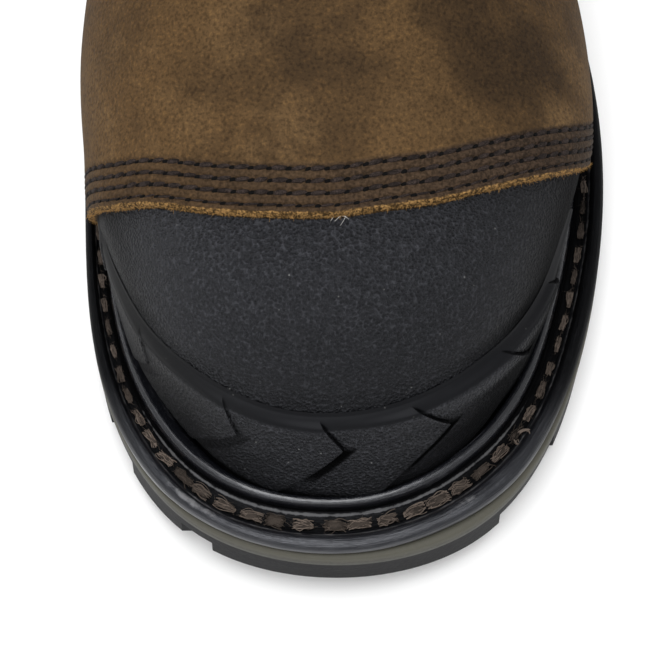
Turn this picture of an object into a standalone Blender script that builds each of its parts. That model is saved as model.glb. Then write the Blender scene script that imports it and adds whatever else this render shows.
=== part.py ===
"""Composite toe work boot for the right foot, standing on its sole.

The toe points to -Y, the inner (medial) side of the foot is at +X, and Z is up.
Tables are in millimetres. Lengths run back from the front of the sole, heights up from the floor.
"""
from collections import namedtuple
from math import acos, pi

import bmesh
import bpy
import numpy as np

MM = 0.001
GAP = 0.3

# Driving sizes of the sole
SOLE_LENGTH = 315.0
BALL_HALF_WIDTH = 59.5
SIDE_SHIFT = 1.5
TOE_SPRING = 11.0
SPRING_START = 95.0
MIDSOLE_THICK = 4.4
MIDSOLE_INSET = 0.0
OUTSOLE_BASE = 4.0
OUTSOLE_INSET = 0.4
HEEL_BREAST = 228.0
HEEL_LUG_DEPTH = 6.0
INSOLE_THICK = 4.0
INSOLE_INSET = 7.0

# Driving sizes of the upper
WALL_THICK = 2.2
CAP_THICK = 2.2
CAP_GAP = 0.4
VAMP_EDGE_STEP = 2.0
STEP_FADE_HEIGHT = 14.0
LINING_RAMP = 0.12
SEAM_FROM_TOE = 89.0
SEAM_SKEW = 9.0
SEAM_BOW_MEDIAL = 4.5
SEAM_BOW_LATERAL = 2.5
BACK_CLIMB = 62.0
TOE_ROUND = 40.0
# The ring's upright start beside the welt, and how far its direction carries into the bulge
FOOT_HEIGHT = 6.0
FOOT_SHARE = 0.5
LEAD_STEP = 0.3
LEAD_SHARE = 0.28

# Points nearer than this are one point: in millimetres while drawing, in metres in the mesh
TOUCHING = 0.001
MERGE = 1e-6
THIN = 1e-7
SHARP_ANGLE = pi / 5

EdgeRow = namedtuple("EdgeRow", "from_toe medial lateral")
SOLE_EDGE = [
    EdgeRow(0, 0, 0),
    EdgeRow(8, 28.7, 29.0),
    EdgeRow(25, 44.2, 44.4),
    EdgeRow(55, 55.6, 54.4),
    EdgeRow(92, 60.8, 57.2),
    EdgeRow(125, 58.6, 57.8),
    EdgeRow(165, 48.6, 54.0),
    EdgeRow(205, 41.0, 46.6),
    EdgeRow(240, 39.5, 41.5),
    EdgeRow(272, 39.5, 40.0),
    EdgeRow(298, 31.0, 31.5),
    EdgeRow(SOLE_LENGTH, 0, 0),
]
# The feather edge is where the upper meets the sole
FEATHER_EDGE = [
    EdgeRow(13, 0, 0),
    EdgeRow(20, 20.9, 22.6),
    EdgeRow(30, 31.0, 31.8),
    EdgeRow(46, 40.6, 40.6),
    EdgeRow(64, 46.0, 45.8),
    EdgeRow(95, 51.2, 49.6),
    EdgeRow(125, 50.0, 51.0),
    EdgeRow(165, 40.6, 46.8),
    EdgeRow(205, 33.6, 39.0),
    EdgeRow(240, 32.4, 34.4),
    EdgeRow(272, 32.4, 33.0),
    EdgeRow(296, 23.8, 24.4),
    EdgeRow(308, 0, 0),
]

TopRow = namedtuple("TopRow", "from_toe height")
# Upper face of the midsole: toe spring, ball, arch and heel seat
TOP_LINE = [
    TopRow(0, 23.5),
    TopRow(30, 20.0),
    TopRow(60, 18.0),
    TopRow(105, 17.0),
    TopRow(150, 19.5),
    TopRow(190, 27.0),
    TopRow(230, 34.5),
    TopRow(275, 38.0),
    TopRow(SOLE_LENGTH, 39.5),
]

WeltRow = namedtuple("WeltRow", "across height")
# Section of the storm welt, from the lip (0) in to the feather edge (1), above the midsole
WELT_SECTION = [
    WeltRow(0.08, 0.3),
    WeltRow(0.06, 1.8),
    WeltRow(0.10, 3.2),
    WeltRow(0.17, 3.9),
    WeltRow(0.25, 3.6),
    WeltRow(0.31, 2.6),
    WeltRow(0.34, 1.4),
    WeltRow(0.66, 1.4),
    WeltRow(0.70, 3.0),
    WeltRow(0.76, 4.6),
    WeltRow(0.84, 5.2),
    WeltRow(0.92, 4.7),
    WeltRow(0.95, 3.4),
    WeltRow(0.95, 0.3),
]

Lug = namedtuple("Lug", "start end outer inner")
# Tread blocks: from and to along the sole, and across it from lateral edge (-1) to medial edge (1)
TOE_LUGS = [Lug(0, 7, -1, 1), Lug(7, 14, -0.3, 1), Lug(12, 27, -1, -0.5)]
LATERAL_LUGS = [Lug(start, start + 18, -1, -0.5) for start in (40, 66, 92, 118, 144)]
MEDIAL_LUGS = [Lug(start, start + 18, 0.5, 1) for start in (34, 60, 86, 112, 138)]
CENTRE_LUGS = [Lug(start, start + 12, -0.3, 0.3) for start in (24, 50, 76, 102, 128, 154)]
OUTSOLE_LUGS = TOE_LUGS + LATERAL_LUGS + MEDIAL_LUGS + CENTRE_LUGS
HEEL_LUGS = [
    Lug(HEEL_BREAST, 240, -1, -0.3),
    Lug(HEEL_BREAST, 240, 0.3, 1),
    Lug(248, 268, -1, -0.5),
    Lug(248, 268, 0.5, 1),
    Lug(248, 268, -0.3, 0.3),
    Lug(276, 290, -1, -0.5),
    Lug(276, 290, 0.5, 1),
    Lug(298, SOLE_LENGTH, -1, 1),
]

FootRing = namedtuple("FootRing", "from_toe lean ridge medial lateral drop low side top")
# Rings of the upper that end on the feather edge. Lean carries the ridge forward of the ends.
# Drop is the way from the ridge down to the widest place; low, side and top say how full the ring is.
FOOT_RINGS = [
    FootRing(13, 0, 0, 0, 0, 0, 0.5, 0.60, 0.60),
    FootRing(20, -2.9, 20.4, 21.2, 23.0, 13.8, 0.5, 0.61, 0.60),
    FootRing(30, -6.8, 31.4, 31.8, 32.8, 21.5, 0.5, 0.62, 0.61),
    FootRing(46, -13.2, 42.0, 42.8, 42.8, 29.5, 0.5, 0.63, 0.62),
    FootRing(66, -21.5, 49.6, 50.2, 49.6, 36.2, 0.5, 0.63, 0.62),
    FootRing(89, -31, 54.0, 55.8, 54.8, 41.7, 0.5, 0.62, 0.60),
    FootRing(109, -37.5, 58.8, 57.0, 56.4, 46.7, 0.5, 0.58, 0.56),
    FootRing(130, -42, 64.7, 55.2, 57.6, 52.5, 0.5, 0.55, 0.52),
    FootRing(160, -50, 71.5, 48.6, 55.0, 60.2, 0.5, 0.53, 0.48),
    FootRing(190, -57, 79.0, 42.8, 49.4, 68.2, 0.5, 0.53, 0.46),
    FootRing(220, -67, 88.2, 40.6, 44.8, 75.3, 0.5, 0.54, 0.46),
    FootRing(250, -83, 98.5, 40.0, 42.8, 82.0, 0.5, 0.55, 0.48),
    FootRing(280, -105, 108.8, 40.0, 42.0, 88.0, 0.52, 0.56, 0.50),
    FootRing(308, -127.5, 120.0, 41.0, 42.4, 91.0, 0.55, 0.56, 0.53),
]

ShaftRing = namedtuple("ShaftRing", "back back_height front front_height medial lateral drop side top")
# Closed rings of the upper, from the heel's back up to the collar
SHAFT_RINGS = [
    ShaftRing(310.5, 60, 185.0, 173, 41.8, 43.0, 89.0, 0.56, 0.54),
    ShaftRing(309.5, 85, 188.0, 185, 42.2, 43.2, 82.5, 0.56, 0.55),
    ShaftRing(306.0, 115, 190.0, 198, 42.8, 43.6, 74.0, 0.56, 0.55),
    ShaftRing(304.0, 150, 190.5, 212, 44.2, 44.8, 66.0, 0.56, 0.55),
    ShaftRing(305.0, 190, 189.0, 230, 47.0, 47.4, 61.5, 0.56, 0.55),
    ShaftRing(307.5, 230, 186.5, 252, 49.8, 50.0, 61.0, 0.56, 0.55),
    ShaftRing(309.5, 274, 184.0, 284, 52.0, 52.0, 63.0, 0.56, 0.55),
]

SOLE_STEPS = 44
# Share of a step that an even station keeps clear of a lug's end
STEP_CLEARANCE = 0.4
WELT_STEPS = 44
RINGS_ON_CAP = 11
RINGS_ON_FOOT = 19
RINGS_ON_SHAFT = 11
FOOT_POINTS = 2
LOW_POINTS = 5
HIGH_POINTS = 9

Finish = namedtuple("Finish", "name colour roughness")
LEATHER = Finish("brown_leather", (0.085, 0.050, 0.024), 0.75)
CAP_RUBBER = Finish("cap_rubber", (0.012, 0.012, 0.014), 0.5)
WELT_RUBBER = Finish("welt_rubber", (0.010, 0.010, 0.010), 0.4)
MIDSOLE_RUBBER = Finish("olive_rubber", (0.095, 0.090, 0.058), 0.7)
OUTSOLE_RUBBER = Finish("outsole_rubber", (0.022, 0.022, 0.021), 0.7)
HEEL_RUBBER = Finish("heel_rubber", (0.022, 0.022, 0.021), 0.7)
INSOLE_BOARD = Finish("insole_board", (0.180, 0.130, 0.080), 0.9)


def spline(places, values):
    """Natural cubic spline through the values, as a function of place."""
    places = np.asarray(places, float)
    values = np.asarray(values, float)
    last = len(places) - 1
    width = np.diff(places)
    slope = np.diff(values) / width
    matrix = np.eye(last + 1)
    change = np.zeros(last + 1)
    for i in range(1, last):
        matrix[i, i - 1:i + 2] = width[i - 1], 2 * (width[i - 1] + width[i]), width[i]
        change[i] = 6 * (slope[i] - slope[i - 1])
    bend = np.linalg.solve(matrix, change)

    def value(place):
        place = np.clip(place, places[0], places[-1])
        i = np.clip(np.searchsorted(places, place, side="right") - 1, 0, last - 1)
        b = (place - places[i]) / width[i]
        a = 1 - b
        curve = (a**3 - a) * bend[i] + (b**3 - b) * bend[i + 1]
        return a * values[i] + b * values[i + 1] + curve * width[i]**2 / 6

    return value


def smooth(x):
    """Soft step from 0 to 1."""
    x = np.clip(x, 0, 1)
    return x * x * (3 - 2 * x)


Edge = namedtuple("Edge", "start end medial lateral")


def edge_from(rows):
    """Half-widths of an edge, as functions of the turn from toe (0) to heel (pi)."""
    start = rows[0].from_toe
    end = rows[-1].from_toe
    turns = [turn_at(row.from_toe, start, end) for row in rows]
    medial = spline(turns, [row.medial for row in rows])
    lateral = spline(turns, [row.lateral for row in rows])
    return Edge(start, end, medial, lateral)


def turn_at(from_toe, start, end):
    """Turn round the edge at a length from the toe: rounds both ends evenly."""
    return acos(max(-1, min(1, 1 - 2 * (from_toe - start) / (end - start))))


def length_at(turn, start, end):
    """Length from the toe at a turn round the edge."""
    return start + (end - start) * (1 - np.cos(turn)) / 2


SOLE = edge_from(SOLE_EDGE)
FEATHER = edge_from(FEATHER_EDGE)
top_line = spline([row.from_toe for row in TOP_LINE], [row.height for row in TOP_LINE])


def floor_line(from_toe):
    """Tread of the outsole: flat at the ball, sprung at the toe."""
    rise = np.clip((SPRING_START - from_toe) / SPRING_START, 0, 1)
    return TOE_SPRING * rise**2


def placed(x, from_toe, height):
    """Point in metres, with the middle of the boot's length and width at the origin."""
    return ((x - SIDE_SHIFT) * MM, (from_toe - SOLE_LENGTH / 2) * MM, height * MM)


def material_of(finish):
    """Principled material of one sub-part."""
    material = bpy.data.materials.new(finish.name)
    material.use_nodes = True
    shader = material.node_tree.nodes["Principled BSDF"]
    shader.inputs["Base Color"].default_value = (*finish.colour, 1)
    shader.inputs["Roughness"].default_value = finish.roughness
    shader.inputs["Metallic"].default_value = 0
    return material


def solid(name, points, faces, finish):
    """Object from points in millimetres: doubled points are joined and faces turned out."""
    mesh = bpy.data.meshes.new(name)
    mesh.from_pydata([placed(*point) for point in points], [], faces)
    work = bmesh.new()
    work.from_mesh(mesh)
    bmesh.ops.remove_doubles(work, verts=work.verts, dist=MERGE)
    bmesh.ops.dissolve_degenerate(work, edges=work.edges, dist=THIN)
    bmesh.ops.recalc_face_normals(work, faces=work.faces)
    bmesh.ops.triangulate(work, faces=work.faces)
    work.to_mesh(mesh)
    work.free()
    mesh.shade_smooth()
    mesh.set_sharp_from_angle(angle=SHARP_ANGLE)
    mesh.materials.append(material_of(finish))
    bpy.context.scene.collection.objects.link(bpy.data.objects.new(name, mesh))


def slab(name, edge, inset, levels, lugs, start, finish):
    """Plate along the sole: upper face, lower face and, under the lugs, the tread.

    Levels are three functions of the length from the toe: upper face, lower face and tread.
    """
    first = turn_at(start, edge.start, edge.end)
    cuts = [turn_at(end, edge.start, edge.end) for lug in lugs for end in (lug.start, lug.end)]
    even = np.linspace(first, pi, SOLE_STEPS)
    clear = STEP_CLEARANCE * pi / SOLE_STEPS
    free = [turn for turn in even[1:-1] if all(abs(turn - cut) > clear for cut in cuts)]
    turns = sorted({first, pi, *cuts, *free})
    columns = sorted({-1.0, 0.0, 1.0, *(side for lug in lugs for side in (lug.outer, lug.inner))})
    narrow = 1 - inset / BALL_HALF_WIDTH
    shorten = 1 - 2 * inset / (edge.end - edge.start)
    middle = (edge.start + edge.end) / 2
    points = []
    for turn in turns:
        from_toe = middle + (length_at(turn, edge.start, edge.end) - middle) * shorten
        for column in columns:
            half = edge.medial(turn) if column > 0 else edge.lateral(turn)
            for level in levels:
                points.append((column * half * narrow, from_toe, float(level(from_toe))))

    def corner(i, j, level):
        return (i * len(columns) + j) * len(levels) + level

    def is_lug(i, j):
        if not (0 <= i < len(turns) - 1 and 0 <= j < len(columns) - 1):
            return None
        here = length_at((turns[i] + turns[i + 1]) / 2, edge.start, edge.end)
        across = (columns[j] + columns[j + 1]) / 2
        return any(lug.start < here < lug.end and lug.outer < across < lug.inner for lug in lugs)

    faces = []
    for i in range(len(turns) - 1):
        for j in range(len(columns) - 1):
            ring = [(i, j), (i, j + 1), (i + 1, j + 1), (i + 1, j)]
            lower = 2 if is_lug(i, j) else 1
            faces.append([corner(*place, 0) for place in ring])
            faces.append([corner(*place, lower) for place in ring])
            beyond = [(i - 1, j), (i, j + 1), (i + 1, j), (i, j - 1)]
            for k, neighbour in enumerate(beyond):
                near, far = ring[k], ring[(k + 1) % 4]
                other = is_lug(*neighbour)
                if other is None:
                    faces.append([corner(*near, 0), corner(*far, 0), corner(*far, 1), corner(*near, 1)])
                if lower == 2 and not other:
                    faces.append([corner(*near, 1), corner(*far, 1), corner(*far, 2), corner(*near, 2)])
    solid(name, points, faces, finish)


def build_welt():
    """Storm welt: its section carried right round the boot, from the lip in to the upper."""
    turns = np.linspace(0, 2 * pi, 2 * WELT_STEPS, endpoint=False)
    points = []
    for turn in turns:
        side = 1 if turn <= pi else -1
        half_turn = turn if turn <= pi else 2 * pi - turn
        rims = []
        for edge in (SOLE, FEATHER):
            half = edge.medial(half_turn) if side > 0 else edge.lateral(half_turn)
            rims.append(np.array([side * half, length_at(half_turn, edge.start, edge.end)]))
        lip, feather = rims
        for row in WELT_SECTION:
            x, from_toe = lip + (feather - lip) * row.across
            points.append((x, from_toe, float(top_line(from_toe)) + row.height))
    count = len(WELT_SECTION)
    faces = []
    for i in range(len(turns)):
        after = (i + 1) % len(turns)
        for j in range(count):
            up = (j + 1) % count
            faces.append([i * count + j, after * count + j, after * count + up, i * count + up])
    solid("welt", points, faces, WELT_RUBBER)


HEEL_END = FEATHER.end
SEAT_HEIGHT = float(top_line(HEEL_END)) + GAP


def travel_at(from_toe):
    """Way of the rings' ends along the feather edge: quick at the blunt toe, even after it."""
    back = np.maximum(from_toe - FEATHER.start, 0)
    return np.sqrt(back * (back + 2 * TOE_ROUND))


HEEL_TRAVEL = float(travel_at(HEEL_END))
SHAFT_TRAVELS = [HEEL_TRAVEL + row.back_height - SEAT_HEIGHT for row in SHAFT_RINGS]
FOOT_TRAVELS = [float(travel_at(row.from_toe)) for row in FOOT_RINGS]
COLLAR_CLIMB = SHAFT_RINGS[-1].back_height - SEAT_HEIGHT
SEAM_TURN = turn_at(SEAM_FROM_TOE, FEATHER.start, HEEL_END)
COLLAR_TURN = pi + COLLAR_CLIMB / BACK_CLIMB


def foot_and_shaft(foot_values, shaft_values):
    """Spline of one measure over the rings of foot and shaft together."""
    return spline(FOOT_TRAVELS + SHAFT_TRAVELS, [*foot_values, *shaft_values])


back_length = spline([HEEL_TRAVEL, *SHAFT_TRAVELS], [HEEL_END, *(row.back for row in SHAFT_RINGS)])
ridge_lean = foot_and_shaft(
    (row.lean for row in FOOT_RINGS),
    (row.front - HEEL_END - row.back_height + SEAT_HEIGHT for row in SHAFT_RINGS))
ridge_rise = foot_and_shaft(
    (row.ridge for row in FOOT_RINGS),
    (row.front_height - SEAT_HEIGHT for row in SHAFT_RINGS))
widest_medial = foot_and_shaft((row.medial for row in FOOT_RINGS), (row.medial for row in SHAFT_RINGS))
widest_lateral = foot_and_shaft((row.lateral for row in FOOT_RINGS), (row.lateral for row in SHAFT_RINGS))
widest_drop = foot_and_shaft((row.drop for row in FOOT_RINGS), (row.drop for row in SHAFT_RINGS))
low_full = spline(FOOT_TRAVELS, [row.low for row in FOOT_RINGS])
side_full = foot_and_shaft((row.side for row in FOOT_RINGS), (row.side for row in SHAFT_RINGS))
top_full = foot_and_shaft((row.top for row in FOOT_RINGS), (row.top for row in SHAFT_RINGS))


def bezier(a, b, c, d, t):
    """Point on a cubic curve."""
    s = 1 - t
    return s**3 * a + 3 * s**2 * t * b + 3 * s * t**2 * c + t**3 * d


def seam_share(turn):
    """How much of the seam's slant a ring has: all at the seam, none at toe and heel."""
    return float(smooth(turn / SEAM_TURN) * smooth((pi - turn) / (pi - SEAM_TURN)))


def half_ring(turn, side):
    """Half of a ring of the upper's outer face, from its end beside the welt up to the ridge.

    It starts as an upright wall on the feather edge, bulges out to its widest place and closes
    over the ridge. The steps lie in the ring's own leaning plane.
    """
    half = FEATHER.medial if side > 0 else FEATHER.lateral
    climb = max(turn - pi, 0) * BACK_CLIMB
    middle = length_at(min(turn, pi), FEATHER.start, HEEL_END)
    seat = float(top_line(middle)) + GAP
    travel = float(travel_at(middle)) + climb
    widest = float(widest_medial(travel) if side > 0 else widest_lateral(travel))
    own = middle + side * SEAM_SKEW * seam_share(turn)
    end = np.array([own, float(top_line(own)) + GAP])
    if climb > 0:
        end = np.array([float(back_length(travel)), seat + climb])
    ridge = np.array([middle + climb + float(ridge_lean(travel)), seat + float(ridge_rise(travel))])
    rise = float(np.hypot(*(ridge - end)))
    if rise == 0:
        return np.array([(0, *end)] * (FOOT_POINTS + LOW_POINTS + HIGH_POINTS + 1))
    toward = (ridge - end) / rise

    def wall(step):
        return float(half(turn_at(end[0] + toward[0] * step, FEATHER.start, HEEL_END)))

    upright = climb < FOOT_HEIGHT
    knee = rise - float(widest_drop(travel))
    foot = min(max(FOOT_HEIGHT - climb, 0) / toward[1], FOOT_SHARE * knee)
    start = wall(foot) if upright else 0
    widest = max(widest, start)
    lead = np.array([wall(foot + LEAD_STEP) - start, LEAD_STEP] if upright else [1.0, 0.0])
    lead *= LEAD_SHARE * np.hypot(widest - start, knee - foot) / np.hypot(*lead)
    low = float(low_full(travel))
    side_pull = float(side_full(travel))
    top_pull = float(top_full(travel))
    steps = []
    for step in np.linspace(0, foot, FOOT_POINTS, endpoint=False):
        steps.append((wall(step) if upright else 0, step))
    corners = np.array([
        (start, foot), (start + lead[0], foot + lead[1]),
        (widest, knee - low * (knee - foot)), (widest, knee)])
    steps += [bezier(*corners, k / LOW_POINTS) for k in range(LOW_POINTS)]
    corners = np.array([
        (widest, knee), (widest, knee + side_pull * (rise - knee)),
        (top_pull * widest, rise), (0, rise)])
    steps += [bezier(*corners, k / HIGH_POINTS) for k in range(HIGH_POINTS + 1)]
    points = np.array([(side * x, *(end + toward * step)) for x, step in steps])
    if climb == 0:
        bow = SEAM_BOW_MEDIAL if side > 0 else SEAM_BOW_LATERAL
        along = np.array([step for x, step in steps]) / rise
        points[:, 1] += bow * seam_share(turn) * smooth(along * 2) * smooth(2 - along * 2)
    return points


def ring(turn):
    """One ring of the upper's outer face, from the medial end over the ridge to the lateral end."""
    return np.vstack([half_ring(turn, 1), half_ring(turn, -1)[-2::-1]])


def face_normals(rings, turns):
    """Outward normals of the grid of rings, level along the feather edge."""
    along = np.gradient(rings, axis=0)
    around = np.gradient(rings, axis=1)
    normals = np.cross(along, around)
    shut = turns >= pi
    for j in range(FOOT_POINTS, -1, -1):
        for here, inward in ((j, j + 1), (-1 - j, -2 - j)):
            met = np.linalg.norm(rings[:, here] - rings[:, inward], axis=1) < TOUCHING
            normals[met, here] = normals[met, inward]
    normals[:, 0] = np.where(shut[:, None], normals[:, 0] + normals[:, -1], normals[:, 0])
    normals[shut, -1] = normals[shut, 0]
    seated = turns <= pi
    normals[seated, 0, 2] = 0
    normals[seated, -1, 2] = 0
    normals[0] = (0, -1, 0)
    return normals / np.linalg.norm(normals, axis=2, keepdims=True)


def shell(name, outer, inner, shut, finish):
    """Solid between two grids of rings, closed along the feather edge and the last ring."""
    count = outer.shape[1]
    total = outer.shape[0] * count
    points = [*outer.reshape(-1, 3), *inner.reshape(-1, 3)]
    faces = []
    for i in range(outer.shape[0] - 1):
        for j in range(count - 1):
            quad = [i * count + j, i * count + j + 1, (i + 1) * count + j + 1, (i + 1) * count + j]
            faces.append(quad)
            faces.append([total + corner for corner in quad])
        for j in (0, count - 1):
            here, after = i * count + j, (i + 1) * count + j
            if not shut[i]:
                faces.append([here, after, total + after, total + here])
    last = (outer.shape[0] - 1) * count
    for j in range(count - 1):
        here = last + j
        faces.append([here, here + 1, total + here + 1, total + here])
    solid(name, points, faces, finish)


def upper_rings():
    """Turns of all rings with the seam's own, their outer points and normals."""
    turns = np.concatenate([
        np.linspace(0, SEAM_TURN, RINGS_ON_CAP, endpoint=False),
        np.linspace(SEAM_TURN, pi, RINGS_ON_FOOT, endpoint=False),
        np.linspace(pi, COLLAR_TURN, RINGS_ON_SHAFT)])
    rings = np.array([ring(turn) for turn in turns])
    return turns, rings, face_normals(rings, turns)


def cap_depth(rings):
    """How far the cap's face lies below the vamp's: a full step on top, none at the welt."""
    above = rings[:, :, 2] - rings[:, :1, 2]
    return VAMP_EDGE_STEP * smooth(above / STEP_FADE_HEIGHT)[:, :, None]


def build_upper_and_cap():
    """Hollow upper with a stepped front, and the moulded cap that lies in the step."""
    turns, rings, normals = upper_rings()
    seam = RINGS_ON_CAP
    depth = cap_depth(rings)
    recess = depth + CAP_THICK + CAP_GAP
    outer = np.concatenate([
        (rings - normals * recess)[:seam + 1],
        rings[seam:]])
    padded = smooth(1 - (turns - turns[seam + 1]) / LINING_RAMP)[:, None, None]
    inner = rings - normals * (WALL_THICK + padded * recess)
    seated = turns <= pi
    seat = np.minimum(rings[seated, :1, 2], rings[seated, -1:, 2])
    inner[seated, :, 2] = np.maximum(inner[seated, :, 2], seat)
    inner = np.concatenate([inner[:seam + 1], inner[seam:]])
    inner[seam + 1] = (inner[seam] + inner[seam + 2]) / 2
    shut = np.concatenate([turns[:seam + 1] >= pi, turns[seam:] >= pi])
    shell("upper", outer, inner, shut, LEATHER)

    spacing = np.linalg.norm(rings[seam] - rings[seam - 1], axis=1)[:, None]
    back_off = CAP_GAP / spacing

    def up_to_seam(grid):
        last = grid[seam] + (grid[seam - 1] - grid[seam]) * back_off
        return np.concatenate([grid[:seam], last[None]])

    face = up_to_seam(rings - normals * depth)
    under = up_to_seam(rings - normals * (depth + CAP_THICK))
    shell("toe_cap", face, under, turns[:seam + 1] >= pi, CAP_RUBBER)


def build_sole():
    """Outsole, heel, midsole and insole: each is stacked on the midsole's upper face."""
    def midsole_under(from_toe):
        return top_line(from_toe) - MIDSOLE_THICK

    def outsole_upper(from_toe):
        return midsole_under(from_toe) - GAP

    def outsole_under(from_toe):
        return outsole_upper(from_toe) - OUTSOLE_BASE

    def heel_upper(from_toe):
        return outsole_under(from_toe) - GAP

    def heel_under(from_toe):
        return floor_line(from_toe) + HEEL_LUG_DEPTH

    def insole_under(from_toe):
        return top_line(from_toe) + GAP

    def insole_upper(from_toe):
        return insole_under(from_toe) + INSOLE_THICK

    outsole_levels = outsole_upper, outsole_under, floor_line
    heel_levels = heel_upper, heel_under, floor_line
    midsole_levels = top_line, midsole_under, midsole_under
    insole_levels = insole_upper, insole_under, insole_under
    slab("outsole", SOLE, OUTSOLE_INSET, outsole_levels, OUTSOLE_LUGS, SOLE.start, OUTSOLE_RUBBER)
    slab("heel", SOLE, OUTSOLE_INSET, heel_levels, HEEL_LUGS, HEEL_BREAST, HEEL_RUBBER)
    slab("midsole", SOLE, MIDSOLE_INSET, midsole_levels, [], SOLE.start, MIDSOLE_RUBBER)
    slab("insole", FEATHER, INSOLE_INSET, insole_levels, [], FEATHER.start, INSOLE_BOARD)


def main():
    for obj in list(bpy.data.objects):
        bpy.data.objects.remove(obj)
    build_sole()
    build_welt()
    build_upper_and_cap()


main()
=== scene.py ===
"""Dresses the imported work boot: worn nubuck, moulded rubber, stitching and a plain studio stage.

The toe points to -Y and the inner side of the foot is at +X. Tables are in millimetres: lengths run
back from the front of the sole and heights up from the floor.
"""
from collections import namedtuple
from functools import cache
from math import acos, cos, pi, radians, sin

import bmesh
import bpy
import numpy as np
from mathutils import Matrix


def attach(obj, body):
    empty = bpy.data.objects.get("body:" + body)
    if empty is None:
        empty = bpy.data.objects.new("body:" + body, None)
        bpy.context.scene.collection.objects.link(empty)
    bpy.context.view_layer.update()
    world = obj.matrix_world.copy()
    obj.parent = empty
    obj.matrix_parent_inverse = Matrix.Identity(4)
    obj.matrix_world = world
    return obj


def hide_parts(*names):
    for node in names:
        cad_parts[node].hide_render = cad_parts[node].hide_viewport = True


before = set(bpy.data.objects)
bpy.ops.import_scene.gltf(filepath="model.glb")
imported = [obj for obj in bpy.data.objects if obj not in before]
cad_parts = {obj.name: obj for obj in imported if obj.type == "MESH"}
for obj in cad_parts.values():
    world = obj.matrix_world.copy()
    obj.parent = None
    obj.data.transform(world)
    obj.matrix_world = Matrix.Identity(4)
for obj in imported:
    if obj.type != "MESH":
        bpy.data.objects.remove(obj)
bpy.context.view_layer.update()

bl_info = {
    "name": "Work boot dressing",
    "version": (1, 0, 0),
    "blender": (4, 5, 0),
    "location": "View3D > Sidebar > Boot",
    "description": "Dresses a composite toe work boot in leather, rubber and stitching",
    "category": "Object",
}

MM = 0.001
GAP = 0.3

SOLE_LENGTH = 315.0
BALL_HALF_WIDTH = 59.5
SIDE_SHIFT = 1.5
TOE_SPRING = 11.0
SPRING_START = 95.0
MIDSOLE_THICK = 4.4
OUTSOLE_BASE = 4.0
OUTSOLE_INSET = 0.4
HEEL_BREAST = 228.0
HEEL_LUG_DEPTH = 6.0
INSOLE_THICK = 4.0
INSOLE_INSET = 7.0

WALL_THICK = 2.2
CAP_THICK = 2.2
CAP_GAP = 0.4
VAMP_EDGE_STEP = 2.0
STEP_FADE_HEIGHT = 14.0
STEP_LEFT_AT_WELT = 0.35
LINING_RAMP = 0.12
SEAM_FROM_TOE = 89.0
SEAM_SKEW = 9.0
SEAM_BOW_MEDIAL = 4.5
SEAM_BOW_LATERAL = 2.5
BACK_CLIMB = 62.0
TOE_ROUND = 40.0
FOOT_HEIGHT = 6.0
FOOT_SHARE = 0.5
LEAD_STEP = 0.3
LEAD_SHARE = 0.28
TOUCHING = 0.001
MERGE = 1e-6


def table(kind, *rows):
    """Rows of numbers as named rows."""
    return [kind(*row) for row in rows]


EdgeRow = namedtuple("EdgeRow", "from_toe medial lateral")
SOLE_EDGE = table(
    EdgeRow, (0, 0, 0), (8, 28.7, 29.0), (25, 44.2, 44.4), (55, 55.6, 54.4), (92, 60.8, 57.2),
    (125, 58.6, 57.8), (165, 48.6, 54.0), (205, 41.0, 46.6), (240, 39.5, 41.5), (272, 39.5, 40.0),
    (298, 31.0, 31.5), (SOLE_LENGTH, 0, 0))
# The feather edge is where the upper meets the sole
FEATHER_EDGE = table(
    EdgeRow, (13, 0, 0), (20, 20.9, 22.6), (30, 31.0, 31.8), (46, 40.6, 40.6), (64, 46.0, 45.8),
    (95, 51.2, 49.6), (125, 50.0, 51.0), (165, 40.6, 46.8), (205, 33.6, 39.0), (240, 32.4, 34.4),
    (272, 32.4, 33.0), (296, 23.8, 24.4), (308, 0, 0))

LineRow = namedtuple("LineRow", "from_toe height")
# Upper face of the midsole: toe spring, ball, arch and heel seat
TOP_LINE = table(
    LineRow, (0, 23.5), (30, 20.0), (60, 18.0), (105, 17.0), (150, 19.5), (190, 27.0), (230, 34.5),
    (275, 38.0), (SOLE_LENGTH, 39.5))

SectionRow = namedtuple("SectionRow", "across height")
# Section of the storm welt, from the lip (0) in to the feather edge (1), above the midsole
WELT_SECTION = table(
    SectionRow, (0.20, 0.3), (0.09, 0.5), (0.055, 1.5), (0.07, 2.6), (0.115, 3.45), (0.18, 3.85),
    (0.25, 3.7), (0.31, 3.0), (0.345, 2.1), (0.39, 1.75), (0.50, 1.55), (0.60, 1.75), (0.635, 2.15),
    (0.66, 2.45), (0.685, 2.75), (0.70, 3.5), (0.725, 4.6), (0.77, 5.35), (0.83, 5.65), (0.885, 5.35),
    (0.925, 4.5), (0.945, 3.2), (0.95, 0.5))

Lug = namedtuple("Lug", "start end outer inner")
# Tread blocks: from and to along the sole, and across it from lateral edge (-1) to medial edge (1)
TOE_LUGS = [Lug(0, 7, -1, 1), Lug(7, 14, -0.3, 1), Lug(12, 27, -1, -0.5)]
LATERAL_LUGS = [Lug(start, start + 18, -1, -0.5) for start in (40, 66, 92, 118, 144)]
MEDIAL_LUGS = [Lug(start, start + 18, 0.5, 1) for start in (34, 60, 86, 112, 138)]
CENTRE_LUGS = [Lug(start, start + 12, -0.3, 0.3) for start in (24, 50, 76, 102, 128, 154)]
OUTSOLE_LUGS = TOE_LUGS + LATERAL_LUGS + MEDIAL_LUGS + CENTRE_LUGS
HEEL_LUGS = table(
    Lug, (HEEL_BREAST, 240, -1, -0.3), (HEEL_BREAST, 240, 0.3, 1), (248, 268, -1, -0.5),
    (248, 268, 0.5, 1), (248, 268, -0.3, 0.3), (276, 290, -1, -0.5), (276, 290, 0.5, 1),
    (298, SOLE_LENGTH, -1, 1))

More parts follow.
